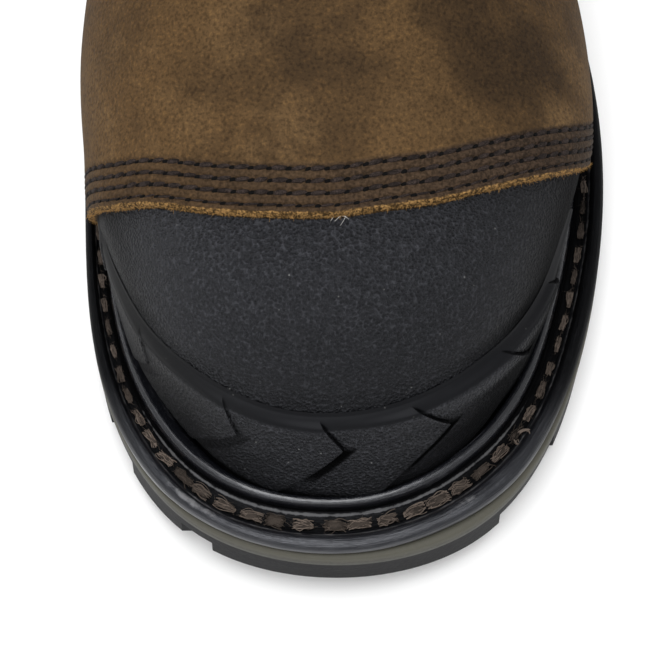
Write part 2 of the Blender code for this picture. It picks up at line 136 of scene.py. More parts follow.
FootRing = namedtuple("FootRing", "from_toe lean ridge medial lateral drop low side top")
# Rings of the upper that end on the feather edge. Lean carries the ridge forward of the ends.
# Drop is the way from the ridge down to the widest place; low, side and top say how full the ring is.
FOOT_RINGS = table(
    FootRing,
    (13, 0, 0, 0, 0, 0, 0.5, 0.60, 0.60),
    (20, -2.9, 20.4, 21.2, 23.0, 13.8, 0.5, 0.61, 0.60),
    (30, -6.8, 31.4, 31.8, 32.8, 21.5, 0.5, 0.62, 0.61),
    (46, -13.2, 42.0, 42.8, 42.8, 29.5, 0.5, 0.63, 0.62),
    (66, -21.5, 49.6, 50.2, 49.6, 36.2, 0.5, 0.63, 0.62),
    (89, -31, 54.0, 55.8, 54.8, 41.7, 0.5, 0.62, 0.60),
    (109, -37.5, 58.8, 57.0, 56.4, 46.7, 0.5, 0.58, 0.56),
    (130, -42, 64.7, 55.2, 57.6, 52.5, 0.5, 0.55, 0.52),
    (160, -50, 71.5, 48.6, 55.0, 60.2, 0.5, 0.53, 0.48),
    (190, -57, 79.0, 42.8, 49.4, 68.2, 0.5, 0.53, 0.46),
    (220, -67, 88.2, 40.6, 44.8, 75.3, 0.5, 0.54, 0.46),
    (250, -83, 98.5, 40.0, 42.8, 82.0, 0.5, 0.55, 0.48),
    (280, -105, 108.8, 40.0, 42.0, 88.0, 0.52, 0.56, 0.50),
    (308, -127.5, 120.0, 41.0, 42.4, 91.0, 0.55, 0.56, 0.53))

ShaftRing = namedtuple("ShaftRing", "back back_height front front_height medial lateral drop side top")
# Closed rings of the upper, from the heel's back up to the collar
SHAFT_RINGS = table(
    ShaftRing,
    (310.5, 60, 185.0, 173, 41.8, 43.0, 89.0, 0.56, 0.54),
    (309.5, 85, 188.0, 185, 42.2, 43.2, 82.5, 0.56, 0.55),
    (306.0, 115, 190.0, 198, 42.8, 43.6, 74.0, 0.56, 0.55),
    (304.0, 150, 190.5, 212, 44.2, 44.8, 66.0, 0.56, 0.55),
    (305.0, 190, 189.0, 230, 47.0, 47.4, 61.5, 0.56, 0.55),
    (307.5, 230, 186.5, 252, 49.8, 50.0, 61.0, 0.56, 0.55),
    (309.5, 274, 184.0, 284, 52.0, 52.0, 63.0, 0.56, 0.55))

BandRow = namedtuple("BandRow", "arc height")
# Crease of the cap: arc round the feather edge from the toe (medial side positive), height above it
CAP_CREASE = table(
    BandRow, (-110, 17.0), (-90, 20.5), (-67, 25.2), (-53, 28.0), (-42, 29.0), (-30, 28.2), (-16, 26.6),
    (0, 26.2), (16, 27.4), (30, 28.8), (42, 28.8), (56, 26.5), (72, 23.0), (90, 20.0), (110, 17.0))
CREASE_TUCK = 0.9
SCALE_TIPS = [-100, -75, -49.3, -24, 1.5, 27.5, 52.5, 73, 93, 112]

ShiftRow = namedtuple("ShiftRow", "x back")
# How far the vamp's cut edge lies behind the plain seam ring, across the foot
SEAM_SHIFT = table(
    ShiftRow, (-54.8, 0.6), (-48.0, 1.0), (-41.0, 1.9), (-30.0, 0.9), (-21.0, 0.0), (-12.0, -0.4),
    (0.0, -0.4), (9.0, 0.8), (21.5, 2.1), (30.0, 3.5), (39.5, 4.2), (49.0, 3.0), (55.3, 0.3))

WeltRow = namedtuple("WeltRow", "turn outer lip_edge groove_in bead")
# Lines of the welt by turn from the toe (medial side positive), as shares of the way in from the lip
WELT_LINES = table(
    WeltRow, (-1.45, -0.005, 0.33, 0.655, 0.83), (-1.15, -0.005, 0.28, 0.52, 0.68),
    (-0.98, -0.005, 0.27, 0.49, 0.63), (-0.80, -0.005, 0.27, 0.50, 0.62),
    (-0.57, 0.0, 0.27, 0.53, 0.67), (-0.46, 0.012, 0.27, 0.57, 0.71), (-0.34, 0.035, 0.27, 0.63, 0.79),
    (-0.21, 0.040, 0.30, 0.69, 0.85), (-0.05, 0.050, 0.36, 0.76, 0.915),
    (0.13, 0.085, 0.40, 0.78, 0.935), (0.25, 0.115, 0.42, 0.775, 0.93), (0.39, 0.090, 0.41, 0.74, 0.90),
    (0.52, 0.055, 0.38, 0.68, 0.86), (0.64, 0.050, 0.36, 0.66, 0.84), (0.78, 0.030, 0.35, 0.65, 0.81),
    (1.00, 0.005, 0.33, 0.63, 0.80), (1.40, -0.005, 0.33, 0.655, 0.83))


def spline(places, values):
    """Natural cubic spline through the values, as a function of place."""
    places = np.asarray(places, float)
    values = np.asarray(values, float)
    last = len(places) - 1
    width = np.diff(places)
    slope = np.diff(values, axis=0) / width.reshape(-1, *[1] * (values.ndim - 1))
    matrix = np.eye(last + 1)
    change = np.zeros_like(values)
    for i in range(1, last):
        matrix[i, i - 1:i + 2] = width[i - 1], 2 * (width[i - 1] + width[i]), width[i]
        change[i] = 6 * (slope[i] - slope[i - 1])
    bend = np.linalg.solve(matrix, change)

    def value(place):
        place = np.clip(place, places[0], places[-1])
        i = np.clip(np.searchsorted(places, place, side="right") - 1, 0, last - 1)
        b = (place - places[i]) / width[i]
        step = width[i]
        if values.ndim > 1:
            b = np.asarray(b)[..., None]
            step = np.asarray(step)[..., None]
        a = 1 - b
        curve = (a**3 - a) * bend[i] + (b**3 - b) * bend[i + 1]
        return a * values[i] + b * values[i + 1] + curve * step**2 / 6

    return value


def smooth(x):
    """Soft step from 0 to 1."""
    x = np.clip(x, 0, 1)
    return x * x * (3 - 2 * x)


def hump(x, width):
    """Soft rise and fall round 0, gone at the width."""
    return smooth(1 - np.abs(x) / width)


def turn_at(from_toe, start, end):
    """Turn round an edge at a length from the toe: rounds both ends evenly."""
    return acos(max(-1, min(1, 1 - 2 * (from_toe - start) / (end - start))))


def length_at(turn, start, end):
    """Length from the toe at a turn round an edge."""
    return start + (end - start) * (1 - np.cos(turn)) / 2


Edge = namedtuple("Edge", "start end medial lateral")


def edge_from(rows):
    """Half-widths of an edge, as functions of the turn from toe (0) to heel (pi)."""
    start = rows[0].from_toe
    end = rows[-1].from_toe
    turns = [turn_at(row.from_toe, start, end) for row in rows]
    medial = spline(turns, [row.medial for row in rows])
    lateral = spline(turns, [row.lateral for row in rows])
    return Edge(start, end, medial, lateral)


SOLE = edge_from(SOLE_EDGE)
FEATHER = edge_from(FEATHER_EDGE)
top_line = spline(*zip(*TOP_LINE))
crease_height = spline(
    [row.arc for row in CAP_CREASE], [row.height - CREASE_TUCK for row in CAP_CREASE])
seam_shift = spline(*zip(*SEAM_SHIFT))
welt_lines = spline([row.turn for row in WELT_LINES], [row[1:] for row in WELT_LINES])
HEEL_END = FEATHER.end
SEAT_HEIGHT = float(top_line(HEEL_END)) + GAP


def travel_at(from_toe):
    """Way of the rings' ends along the feather edge: quick at the blunt toe, even after it."""
    back = np.maximum(from_toe - FEATHER.start, 0)
    return np.sqrt(back * (back + 2 * TOE_ROUND))


HEEL_TRAVEL = float(travel_at(HEEL_END))
SHAFT_TRAVELS = [HEEL_TRAVEL + row.back_height - SEAT_HEIGHT for row in SHAFT_RINGS]
FOOT_TRAVELS = [float(travel_at(row.from_toe)) for row in FOOT_RINGS]
SEAM_TURN = turn_at(SEAM_FROM_TOE, FEATHER.start, HEEL_END)
COLLAR_TURN = pi + (SHAFT_RINGS[-1].back_height - SEAT_HEIGHT) / BACK_CLIMB


def foot_and_shaft(foot_values, shaft_values):
    """Spline of one measure over the rings of foot and shaft together."""
    return spline(FOOT_TRAVELS + SHAFT_TRAVELS, [*foot_values, *shaft_values])


def ring_measure(name):
    """Spline of a measure that the rings of foot and shaft both have."""
    return foot_and_shaft(*(
        [getattr(row, name) for row in rings] for rings in (FOOT_RINGS, SHAFT_RINGS)))


back_length = spline([HEEL_TRAVEL, *SHAFT_TRAVELS], [HEEL_END, *(row.back for row in SHAFT_RINGS)])
ridge_lean = foot_and_shaft(
    (row.lean for row in FOOT_RINGS),
    (row.front - HEEL_END - row.back_height + SEAT_HEIGHT for row in SHAFT_RINGS))
ridge_rise = foot_and_shaft(
    (row.ridge for row in FOOT_RINGS),
    (row.front_height - SEAT_HEIGHT for row in SHAFT_RINGS))
widest_medial, widest_lateral, widest_drop = map(ring_measure, ("medial", "lateral", "drop"))
low_full = spline(FOOT_TRAVELS, [row.low for row in FOOT_RINGS])
side_full, top_full = map(ring_measure, ("side", "top"))


def floor_line(from_toe):
    """Tread of the outsole: flat at the ball, sprung at the toe."""
    rise = np.clip((SPRING_START - from_toe) / SPRING_START, 0, 1)
    return TOE_SPRING * rise**2


def bezier(a, b, c, d, t):
    """Point on a cubic curve."""
    s = 1 - t
    return s**3 * a + 3 * s**2 * t * b + 3 * s * t**2 * c + t**3 * d


def seam_share(turn):
    """How much of the seam's slant a ring has: all at the seam, none at toe and heel."""
    return float(smooth(turn / SEAM_TURN) * smooth((pi - turn) / (pi - SEAM_TURN)))


Counts = namedtuple("Counts", "foot low high")


def half_ring(turn, side, counts):
    """Half of a ring of the upper's outer face, from its end beside the welt up to the ridge."""
    half = FEATHER.medial if side > 0 else FEATHER.lateral
    climb = max(turn - pi, 0) * BACK_CLIMB
    middle = length_at(min(turn, pi), FEATHER.start, HEEL_END)
    seat = float(top_line(middle)) + GAP
    travel = float(travel_at(middle)) + climb
    widest = float(widest_medial(travel) if side > 0 else widest_lateral(travel))
    own = middle + side * SEAM_SKEW * seam_share(turn)
    end = np.array([own, float(top_line(own)) + GAP])
    if climb > 0:
        end = np.array([float(back_length(travel)), seat + climb])
    ridge = np.array([middle + climb + float(ridge_lean(travel)), seat + float(ridge_rise(travel))])
    rise = float(np.hypot(*(ridge - end)))
    if rise == 0:
        return np.array([(0, *end)] * (sum(counts) + 1))
    toward = (ridge - end) / rise

    def wall(step):
        return float(half(turn_at(end[0] + toward[0] * step, FEATHER.start, HEEL_END)))

    upright = climb < FOOT_HEIGHT
    knee = rise - float(widest_drop(travel))
    foot = min(max(FOOT_HEIGHT - climb, 0) / toward[1], FOOT_SHARE * knee)
    start = wall(foot) if upright else 0
    widest = max(widest, start)
    lead = np.array([wall(foot + LEAD_STEP) - start, LEAD_STEP] if upright else [1.0, 0.0])
    lead *= LEAD_SHARE * np.hypot(widest - start, knee - foot) / np.hypot(*lead)
    low = float(low_full(travel))
    side_pull = float(side_full(travel))
    top_pull = float(top_full(travel))
    steps = []
    for step in np.linspace(0, foot, counts.foot, endpoint=False):
        steps.append((wall(step) if upright else 0, step))
    corners = np.array([
        (start, foot), (start + lead[0], foot + lead[1]),
        (widest, knee - low * (knee - foot)), (widest, knee)])
    steps += [bezier(*corners, k / counts.low) for k in range(counts.low)]
    corners = np.array([
        (widest, knee), (widest, knee + side_pull * (rise - knee)),
        (top_pull * widest, rise), (0, rise)])
    steps += [bezier(*corners, k / counts.high) for k in range(counts.high + 1)]
    points = np.array([(side * x, *(end + toward * step)) for x, step in steps])
    if climb == 0:
        bow = SEAM_BOW_MEDIAL if side > 0 else SEAM_BOW_LATERAL
        along = np.array([step for _, step in steps]) / rise
        points[:, 1] += bow * seam_share(turn) * smooth(along * 2) * smooth(2 - along * 2)
    return points


def unit(vectors):
    """Vectors of length one."""
    return vectors / np.maximum(np.linalg.norm(vectors, axis=-1, keepdims=True), 1e-12)


def between(a, b, share):
    """Value at a share of the way from a to b."""
    return a * (1 - share) + b * share


def way_along(points):
    """Way along lines of points, from the first one."""
    steps = np.linalg.norm(np.diff(points, axis=0), axis=-1)
    return np.concatenate([np.zeros((1, *steps.shape[1:])), np.cumsum(steps, axis=0)])


def vectors_along(places, way, vectors):
    """Vectors at places along a way, between those that are given on it."""
    return np.stack([np.interp(places, way, vectors[:, k]) for k in range(3)], axis=-1)


def value_along(rows, places):
    """Values between the rows of a table of places."""
    return np.interp(places, *zip(*rows))


def skin(turns, counts):
    """Rings of the upper's outer face at these turns, and their outward normals."""
    rings = np.array([
        np.vstack([half_ring(turn, 1, counts), half_ring(turn, -1, counts)[-2::-1]]) for turn in turns])
    normals = np.cross(np.gradient(rings, axis=0), np.gradient(rings, axis=1))
    shut = turns >= pi
    for j in range(counts.foot, -1, -1):
        for here, inward in ((j, j + 1), (-1 - j, -2 - j)):
            met = np.linalg.norm(rings[:, here] - rings[:, inward], axis=1) < TOUCHING
            normals[met, here] = normals[met, inward]
    normals[:, 0] = np.where(shut[:, None], normals[:, 0] + normals[:, -1], normals[:, 0])
    normals[shut, -1] = normals[shut, 0]
    seated = turns <= pi
    normals[seated, 0, 2] = 0
    normals[seated, -1, 2] = 0
    if turns[0] == 0:
        normals[0] = (0, -1, 0)
    return rings, unit(normals)


def closed(points, rings, turns, counts):
    """Points laid off from the rings, with those at the back's middle brought together again."""
    shut = turns >= pi
    for j in range(1, counts.foot + 2):
        for here in (j, -j):
            met = shut & (np.linalg.norm(rings[:, here] - rings[:, 0], axis=1) < TOUCHING)
            points[met, here] = points[met, 0]
    return points


def cap_depth(rings):
    """How far the cap's face lies below the vamp's: a full step on top, little at the welt."""
    above = rings[:, :, 2] - rings[:, :1, 2]
    share = STEP_LEFT_AT_WELT + (1 - STEP_LEFT_AT_WELT) * smooth(above / STEP_FADE_HEIGHT)
    return VAMP_EDGE_STEP * share


# Points along an edge for measuring and sewing
EDGE_STEPS = 900


def feather_arcs(points):
    """Arc round the feather edge and height above it, for points of the cap."""
    turns = np.linspace(0, pi, EDGE_STEPS)
    lengths = length_at(turns, FEATHER.start, FEATHER.end)
    medial = np.stack([FEATHER.medial(turns), lengths], axis=-1)
    lateral = np.stack([-FEATHER.lateral(turns), lengths], axis=-1)
    edge = np.concatenate([lateral[:0:-1], medial])
    arc = way_along(edge)
    arc -= arc[len(lateral) - 1]
    arcs = np.empty(points.shape[:2])
    heights = np.empty(points.shape[:2])
    ahead = unit(np.gradient(edge, axis=0))
    for i, row in enumerate(points):
        near = np.argmin(np.linalg.norm(edge[None] - row[:, None, :2], axis=2), axis=1)
        past = np.sum((row[:, :2] - edge[near]) * ahead[near], axis=1)
        arcs[i] = arc[near] + past
        heights[i] = row[:, 2] - top_line(edge[near, 1] + past * ahead[near, 1]) - GAP
    return arcs, heights


RIPPLE_WAVES = 7


def ripple(points, size, seed):
    """Soft unevenness between -1 and 1 with waves of about this size, from a few seeded sines."""
    rng = np.random.default_rng(seed)
    total = np.zeros(points.shape[:-1])
    for _ in range(RIPPLE_WAVES):
        direction = unit(rng.normal(size=3)) / (size * rng.uniform(0.7, 1.5))
        total += np.sin(2 * pi * (points @ direction) + rng.uniform(0, 2 * pi))
    return total / 4


def placed(points):
    """Points in metres, with the middle of the boot's length and width at the origin."""
    return (np.asarray(points, float) - (SIDE_SHIFT, SOLE_LENGTH / 2, 0)) * MM


def grid_faces(rows, columns, first=0, round_rows=False, round_columns=False):
    """Quads of a grid of points that is stored row by row, open or closed on itself."""
    i = np.arange(rows if round_rows else rows - 1)[:, None]
    j = np.arange(columns if round_columns else columns - 1)[None]
    after = (i + 1) % rows
    right = (j + 1) % columns
    quads = [i * columns + j, i * columns + right, after * columns + right, after * columns + j]
    quads = [np.broadcast_to(corner, (i.size, j.size)) for corner in quads]
    return np.stack(quads, axis=-1).reshape(-1, 4) + first


def piece(name, points, faces, looks, node=None, masks=None, sharp=None, face_looks=None):
    """A piece that rides on the boot, from points in millimetres, with masks stored on its points."""
    mesh = bpy.data.meshes.new(name)
    faces = faces.tolist() if isinstance(faces, np.ndarray) else faces
    mesh.from_pydata(placed(points).tolist(), [], faces)
    for look in looks:
        mesh.materials.append(look)
    if face_looks is not None:
        mesh.polygons.foreach_set("material_index", np.asarray(face_looks, np.int32))
    for mask, values in (masks or {}).items():
        layer = mesh.attributes.new(mask, "FLOAT", "POINT")
        layer.data.foreach_set("value", np.asarray(values, np.float32).ravel())
    work = bmesh.new()
    work.from_mesh(mesh)
    bmesh.ops.remove_doubles(work, verts=work.verts, dist=MERGE)
    bmesh.ops.recalc_face_normals(work, faces=work.faces)
    work.to_mesh(mesh)
    work.free()
    mesh.shade_smooth()
    if sharp is not None:
        mesh.set_sharp_from_angle(angle=sharp)
    obj = bpy.data.objects.new(name, mesh)
    bpy.context.scene.collection.objects.link(obj)
    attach(obj, "root")
    if node:
        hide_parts(node)
    return obj


# Black that is mixed in wherever shade is painted
PAINTED_SHADE_BLACK = (0.001, 0.001, 0.001, 1)
# Numbers of the sockets with which a Mix node mixes colours
MIX_SHARE, MIX_A, MIX_B, MIX_RESULT = 0, 6, 7, 2


class Value:
    """A number or colour that varies over a surface. Sums on numbers add Math nodes."""

    def __init__(self, look, socket):
        self.look = look
        self.socket = socket

    def math(self, operation, *terms):
        """Adds a Math node."""
        settings = {"operation": operation}
        return self.look.node("ShaderNodeMath", settings, dict(enumerate(terms)))["Value"]

    def __add__(self, other):
        return self.math("ADD", self, other)

    def __sub__(self, other):
        return self.math("SUBTRACT", self, other)

    def __rsub__(self, other):
        return self.math("SUBTRACT", other, self)

    def __mul__(self, other):
        return self.math("MULTIPLY", self, other)

    __radd__ = __add__
    __rmul__ = __mul__


class Outputs:
    """The outputs of one node, by name or number."""

    def __init__(self, look, node):
        self.look = look
        self.node = node

    def __getitem__(self, key):
        return Value(self.look, self.node.outputs[key])


class Look:
    """One Principled material, whose nodes are added by expressions."""

    def __init__(self, name):
        self.material = bpy.data.materials.new(name)
        self.material.use_nodes = True
        self.tree = self.material.node_tree
        self.shader = self.tree.nodes["Principled BSDF"]
        self.place = self.node("ShaderNodeTexCoord", {}, {})["Object"]

    def node(self, kind, settings, sockets):
        """Adds a node: its settings first, then the values or links of its sockets."""
        node = self.tree.nodes.new(kind)
        for key, value in settings.items():
            setattr(node, key, value)
        for key, value in sockets.items():
            self.feed(node.inputs[key], value)
        return Outputs(self, node)

    def feed(self, socket, value):
        """Links a varying value to a socket, or sets a plain one on it."""
        if isinstance(value, Value):
            self.tree.links.new(value.socket, socket)
        else:
            socket.default_value = value

    def noise(self, size, detail, rough, stretch=None):
        """Cloudy noise from 0 to 1 with spots of about this size in millimetres."""
        place = self.place
        if stretch:
            settings = {"operation": "MULTIPLY"}
            place = self.node("ShaderNodeVectorMath", settings, {0: place, 1: stretch})["Vector"]
        sockets = {"Vector": place, "Scale": 1 / (size * MM), "Detail": detail, "Roughness": rough}
        return self.node("ShaderNodeTexNoise", {}, sockets)["Fac"]

    def cells(self, size):
        """Distance to scattered points about this far apart in millimetres, in cell widths."""
        sockets = {"Vector": self.place, "Scale": 1 / (size * MM)}
        return self.node("ShaderNodeTexVoronoi", {"feature": "F1"}, sockets)["Distance"]

    def mask(self, name):
        """A value stored on the piece's points."""
        return self.node("ShaderNodeAttribute", {"attribute_name": name}, {})["Fac"]

    def rise(self, value, low, high):
        """Soft step of a value from low (0) to high (1)."""
        settings = {"interpolation_type": "SMOOTHSTEP"}
        sockets = {"Value": value, "From Min": low, "From Max": high}
        return self.node("ShaderNodeMapRange", settings, sockets)["Result"]

    def mix(self, share, a, b, blend="MIX"):
        """Colour between a and b."""
        a, b = (c if isinstance(c, Value) else (*c[:3], 1) for c in (a, b))
        settings = {"data_type": "RGBA", "blend_type": blend}
        return self.node("ShaderNodeMix", settings, {MIX_SHARE: share, MIX_A: a, MIX_B: b})[MIX_RESULT]

    def bump(self, height, depth, strength=1.0, under=None):
        """Normal of a surface raised by this height, with its full depth in millimetres."""
        sockets = {"Height": height, "Distance": depth * MM, "Strength": strength}
        if under:
            sockets["Normal"] = under
        return self.node("ShaderNodeBump", {}, sockets)["Normal"]

    def paint_shade_black(self, share):
        """Paints shade: turns the surface to matt black by a varying share."""
        black = self.node("ShaderNodeBsdfDiffuse", {}, {"Color": PAINTED_SHADE_BLACK})["BSDF"]
        surface = Value(self, self.shader.outputs["BSDF"])
        mixed = self.node("ShaderNodeMixShader", {}, {0: share, 1: surface, 2: black})["Shader"]
        self.feed(self.tree.nodes["Material Output"].inputs["Surface"], mixed)

    def done(self, **sockets):
        """Feeds the shader: names of sockets with underscores for spaces."""
        for key, value in sockets.items():
            if isinstance(value, tuple):
                value = (*value[:3], 1)
            self.feed(self.shader.inputs[key.replace("_", " ")], value)
        return self.material


def colour(name, description, default):
    """A linear colour that a user may change."""
    return bpy.props.FloatVectorProperty(
        name=name, description=description, default=default, subtype="COLOR", size=3, min=0, max=1)


def size(name, description, default):
    """A length that a user may change, in metres."""
    return bpy.props.FloatProperty(
        name=name, description=description, default=default, unit="LENGTH", min=0)


class BootColours(bpy.types.PropertyGroup):
    """Colours of the boot's materials"""
    leather: colour("Leather", "Mid brown of the oiled nubuck", (0.074, 0.0425, 0.0175))
    leather_dark: colour("Leather, dark", "Oil-darkened patches of the nubuck", (0.026, 0.0155, 0.0075))
    leather_light: colour("Leather, light", "Rubbed golden places of the nubuck", (0.116, 0.070, 0.031))
    stitch_band: colour("Stitch band", "Leather under the seam's stitches", (0.034, 0.0225, 0.0155))
    raw_edge: colour("Raw edge", "Cut edge of the vamp", (0.38, 0.22, 0.080))
    lining: colour("Lining", "Inside of shaft and foot", (0.060, 0.042, 0.028))
    cap: colour("Toe cap", "Moulded rubber of the cap", (0.0082, 0.0085, 0.0102))
    welt: colour("Welt", "Rubber of the welt", (0.004, 0.0043, 0.0058))
    midsole: colour("Midsole", "Olive band of the midsole", (0.037, 0.0355, 0.026))
    outsole: colour("Outsole", "Rubber of outsole and heel", (0.0035, 0.0036, 0.0044))
    insole: colour("Insole", "Cloth over the insole", (0.055, 0.045, 0.035))
    seam_thread: colour("Seam thread", "Thread of the vamp's seams", (0.011, 0.008, 0.007))
    welt_thread: colour("Welt thread", "Thread in the welt's groove", (0.034, 0.027, 0.0225))
    floor: colour("Floor", "Plain floor under the boot", (0.92, 0.92, 0.92))


class BootSizes(bpy.types.PropertyGroup):
    """Sizes of the boot's fine work"""
    edge_run: size("Raw edge", "Width of the vamp's bevelled cut edge", 0.0012)
    row_first: size("First stitch row", "From the cut edge back to the first stitch row", 0.0026)
    row_gap: size("Stitch row gap", "From one stitch row of the seam to the next", 0.0026)
    stitch_pitch: size("Seam stitch", "Length of one stitch of the seam", 0.0040)
    stitch_thick: size("Seam thread", "Thickness of the seam's thread", 0.0010)
    welt_pitch: size("Welt stitch", "Length of one stitch of the welt", 0.0060)
    welt_thread: size("Welt thread", "Width of the welt's flattened thread", 0.0028)
    scale_step: size("Scale step", "Height of the steps between the cap's scales", 0.0009)
    band_step: size("Band step", "How far the scaled band stands out below the crease", 0.0006)


def colours():
    """The boot's colours, as the user has set them."""
    return bpy.context.scene.boot_colours


def sizes_mm():
    """The fine work's sizes in millimetres, by name."""
    group = bpy.context.scene.boot_sizes
    return {name: getattr(group, name) / MM for name in BootSizes.__annotations__}


def shade(tint, share):
    """A colour made darker or lighter by a share."""
    return tuple(share * v for v in tint)


# Faint blue of the black rubbers' gloss
GLOSS_TINT = (0.91, 0.93, 1.0)


def nubuck():
    """Oiled nubuck: cloudy browns with a speckled nap, dark where stitched, golden at the cut edge,
    with painted shade near black along the edge's foot.
    """
    look = Look("oiled_nubuck")
    c = colours()
    clouds = look.noise(36, 3, 0.55) * 0.50 + look.noise(12, 3, 0.6) * 0.32
    clouds = clouds + look.noise(4, 3, 0.6) * 0.18
    smudge = look.noise(7, 4, 0.65)
    nap = look.noise(0.8, 3, 0.6)
    base = look.mix(look.rise(clouds, 0.52, 0.39) * 0.55, c.leather, c.leather_dark)
    base = look.mix(look.rise(clouds, 0.53, 0.66) * 0.50, base, c.leather_light)
    oiled = look.mask("oiled") * (0.55 + look.rise(smudge, 0.30, 0.62) * 0.45)
    base = look.mix(oiled, base, c.leather_dark)
    base = look.mix(look.mask("rubbed") * look.rise(smudge, 0.68, 0.42), base, c.leather_light)
    base = look.mix(look.rise(nap, 0.51, 0.35) * 0.75, base, (0.50, 0.49, 0.47), "MULTIPLY")
    base = look.mix(look.rise(nap, 0.54, 0.70) * 0.75, base, (1.6, 1.55, 1.4), "MULTIPLY")
    fuzz = look.noise(0.42, 3, 0.7)
    band = look.mix(look.rise(nap, 0.40, 0.62), shade(c.stitch_band, 0.4), shade(c.stitch_band, 1.1))
    band = look.mix(look.rise(fuzz, 0.54, 0.70) * 0.6, band, shade(c.stitch_band, 2.6))
    base = look.mix(look.mask("stitched"), base, band)
    fleck = look.rise(look.noise(0.85, 3, 0.65), 0.42, 0.62) * (0.3 + look.rise(fuzz, 0.34, 0.60) * 0.7)
    raw = look.mix(fleck, shade(c.raw_edge, 0.12), c.raw_edge)
    base = look.mix(look.mask("raw"), base, raw)
    # Painted shade: the strip at the foot of the cut edge, next to the cap, is turned near black
    base = look.mix(look.mask("under"), base, (0.006, 0.004, 0.003))
    normal = look.bump(nap + look.cells(0.9) * 0.5, 0.34, 0.75)
    normal = look.bump(look.noise(6, 3, 0.6), 0.5, 0.25, normal)
    normal = look.bump(fuzz * look.mask("raw"), 0.8, 0.8, normal)
    return look.done(
        Base_Color=base, Roughness=0.72 + nap * 0.15, Specular_IOR_Level=0.08, Normal=normal)


def lining_cloth():
    """Woven lining of the inside."""
    look = Look("lining_cloth")
    c = colours().lining
    weave = look.noise(0.8, 2, 0.6)
    base = look.mix(look.rise(look.noise(18, 3, 0.6), 0.35, 0.7) * 0.5, c, shade(c, 1.5))
    return look.done(
        Base_Color=base, Roughness=0.85 + weave * 0.1, Normal=look.bump(weave, 0.3, 0.6))


def cap_rubber():
    """Moulded cap rubber: fine pebble grain, satin, with a little dust; smooth along the crease.
    Painted glints and shade lie on the grain, and painted shade turns it matt black at grazing angles,
    along the crease strip, in the band's hollows and foot, and away from the crown.
    """
    look = Look("cap_rubber_moulded")
    c = colours().cap
    grain = look.mask("grain")
    pebble = look.cells(0.64) * 0.7 + look.noise(0.44, 3, 0.65) * 0.6
    cloud = look.noise(22, 3, 0.6)
    dust = look.rise(look.cells(3.0), 0.09, 0.045) * look.rise(look.noise(4.1, 1, 0.5), 0.52, 0.60)
    haze = look.rise(look.noise(6, 5, 0.7), 0.45, 0.75)
    base = look.mix(haze * 0.4, c, shade(c, 1.8))
    dusty = look.mask("dusty")
    base = look.mix(dusty * (0.35 + pebble * 0.5), base, (0.040, 0.040, 0.039))
    # Painted shade in the grain's pits and painted glints, faintly blue, on its raised cells
    base = look.mix(look.rise(pebble, 0.60, 0.44) * grain * 0.75, base, (0.0025, 0.0026, 0.003))
    base = look.mix(look.rise(pebble, 0.72, 0.90) * grain * 0.5, base, (0.044, 0.045, 0.052))
    base = look.mix(dust * 0.45, base, (0.26, 0.26, 0.25))
    # Painted shade: matt black is mixed in at grazing angles, on the smooth crease strip, in the band's
    # hollows and foot, and away from the polished crown
    facing = look.node("ShaderNodeLayerWeight", {}, {"Blend": 0.5})["Facing"]
    grazing_painted_shade = look.rise(facing, 0.22, 0.75) * (0.75 - dusty * 0.35)
    polish_and_painted_shade = look.mask("polish_and_painted_shade")
    flat = grazing_painted_shade * grain + (1 - grain) * 0.5
    flat = flat + (1 - flat) * (1 - polish_and_painted_shade) * 0.5
    look.paint_shade_black(look.mask("foot") * (1 - flat) + flat)
    rough = 0.52 + cloud * 0.12 - grain * 0.16 - polish_and_painted_shade * 0.06
    return look.done(
        Base_Color=base, Roughness=rough, Specular_IOR_Level=0.27, Specular_Tint=GLOSS_TINT,
        Normal=look.bump(pebble * grain, 0.75))


def welt_rubber():
    """Welt rubber: glossy bead, satin lip rubbed along the welt, worn grey beside the groove, matt
    black as painted shade in the groove and on the lip's sides.
    """
    look = Look("welt_rubber_glossy")
    c = colours().welt
    across = look.mask("across")
    spot = look.node("ShaderNodeSeparateXYZ", {}, {0: look.place})
    sockets = {"X": spot["X"] * 70.0, "Y": across * 28.0, "Z": spot["Y"] * 70.0}
    lines = look.node("ShaderNodeCombineXYZ", {}, sockets)["Vector"]
    sockets = {"Vector": lines, "Scale": 1.0, "Detail": 4.0, "Roughness": 0.7}
    scratch = look.node("ShaderNodeTexNoise", {}, sockets)["Fac"]
    scuff = look.rise(look.noise(9, 4, 0.65), 0.42, 0.66)
    worn = look.rise(look.mask("worn") * 0.6 + look.noise(2.2, 4, 0.7) * 0.75, 0.64, 0.90)
    rubbed = look.rise(scratch, 0.48, 0.70) * scuff
    bead = look.rise(across, 0.62, 0.76)
    base = look.mix(rubbed * 0.30, c, (0.085, 0.087, 0.098))
    base = look.mix(worn * 0.8, base, (0.125, 0.124, 0.127))
    normal = look.bump(scratch, 0.30, 0.8)
    normal = look.bump(look.noise(5, 3, 0.55), 0.5, 0.15, normal)
    rough = 0.28 + rubbed * 0.16 + worn * 0.25 - bead * 0.10
    # Painted shade: the groove and the lip's sides are turned matt black, less where worn
    look.paint_shade_black(look.mask("welt_painted_shade") * (1 - worn * 0.6))
    return look.done(
        Base_Color=base, Roughness=rough, Specular_IOR_Level=0.5, Specular_Tint=GLOSS_TINT,
        Coat_Weight=bead * 0.6, Coat_Roughness=0.12, Normal=normal)


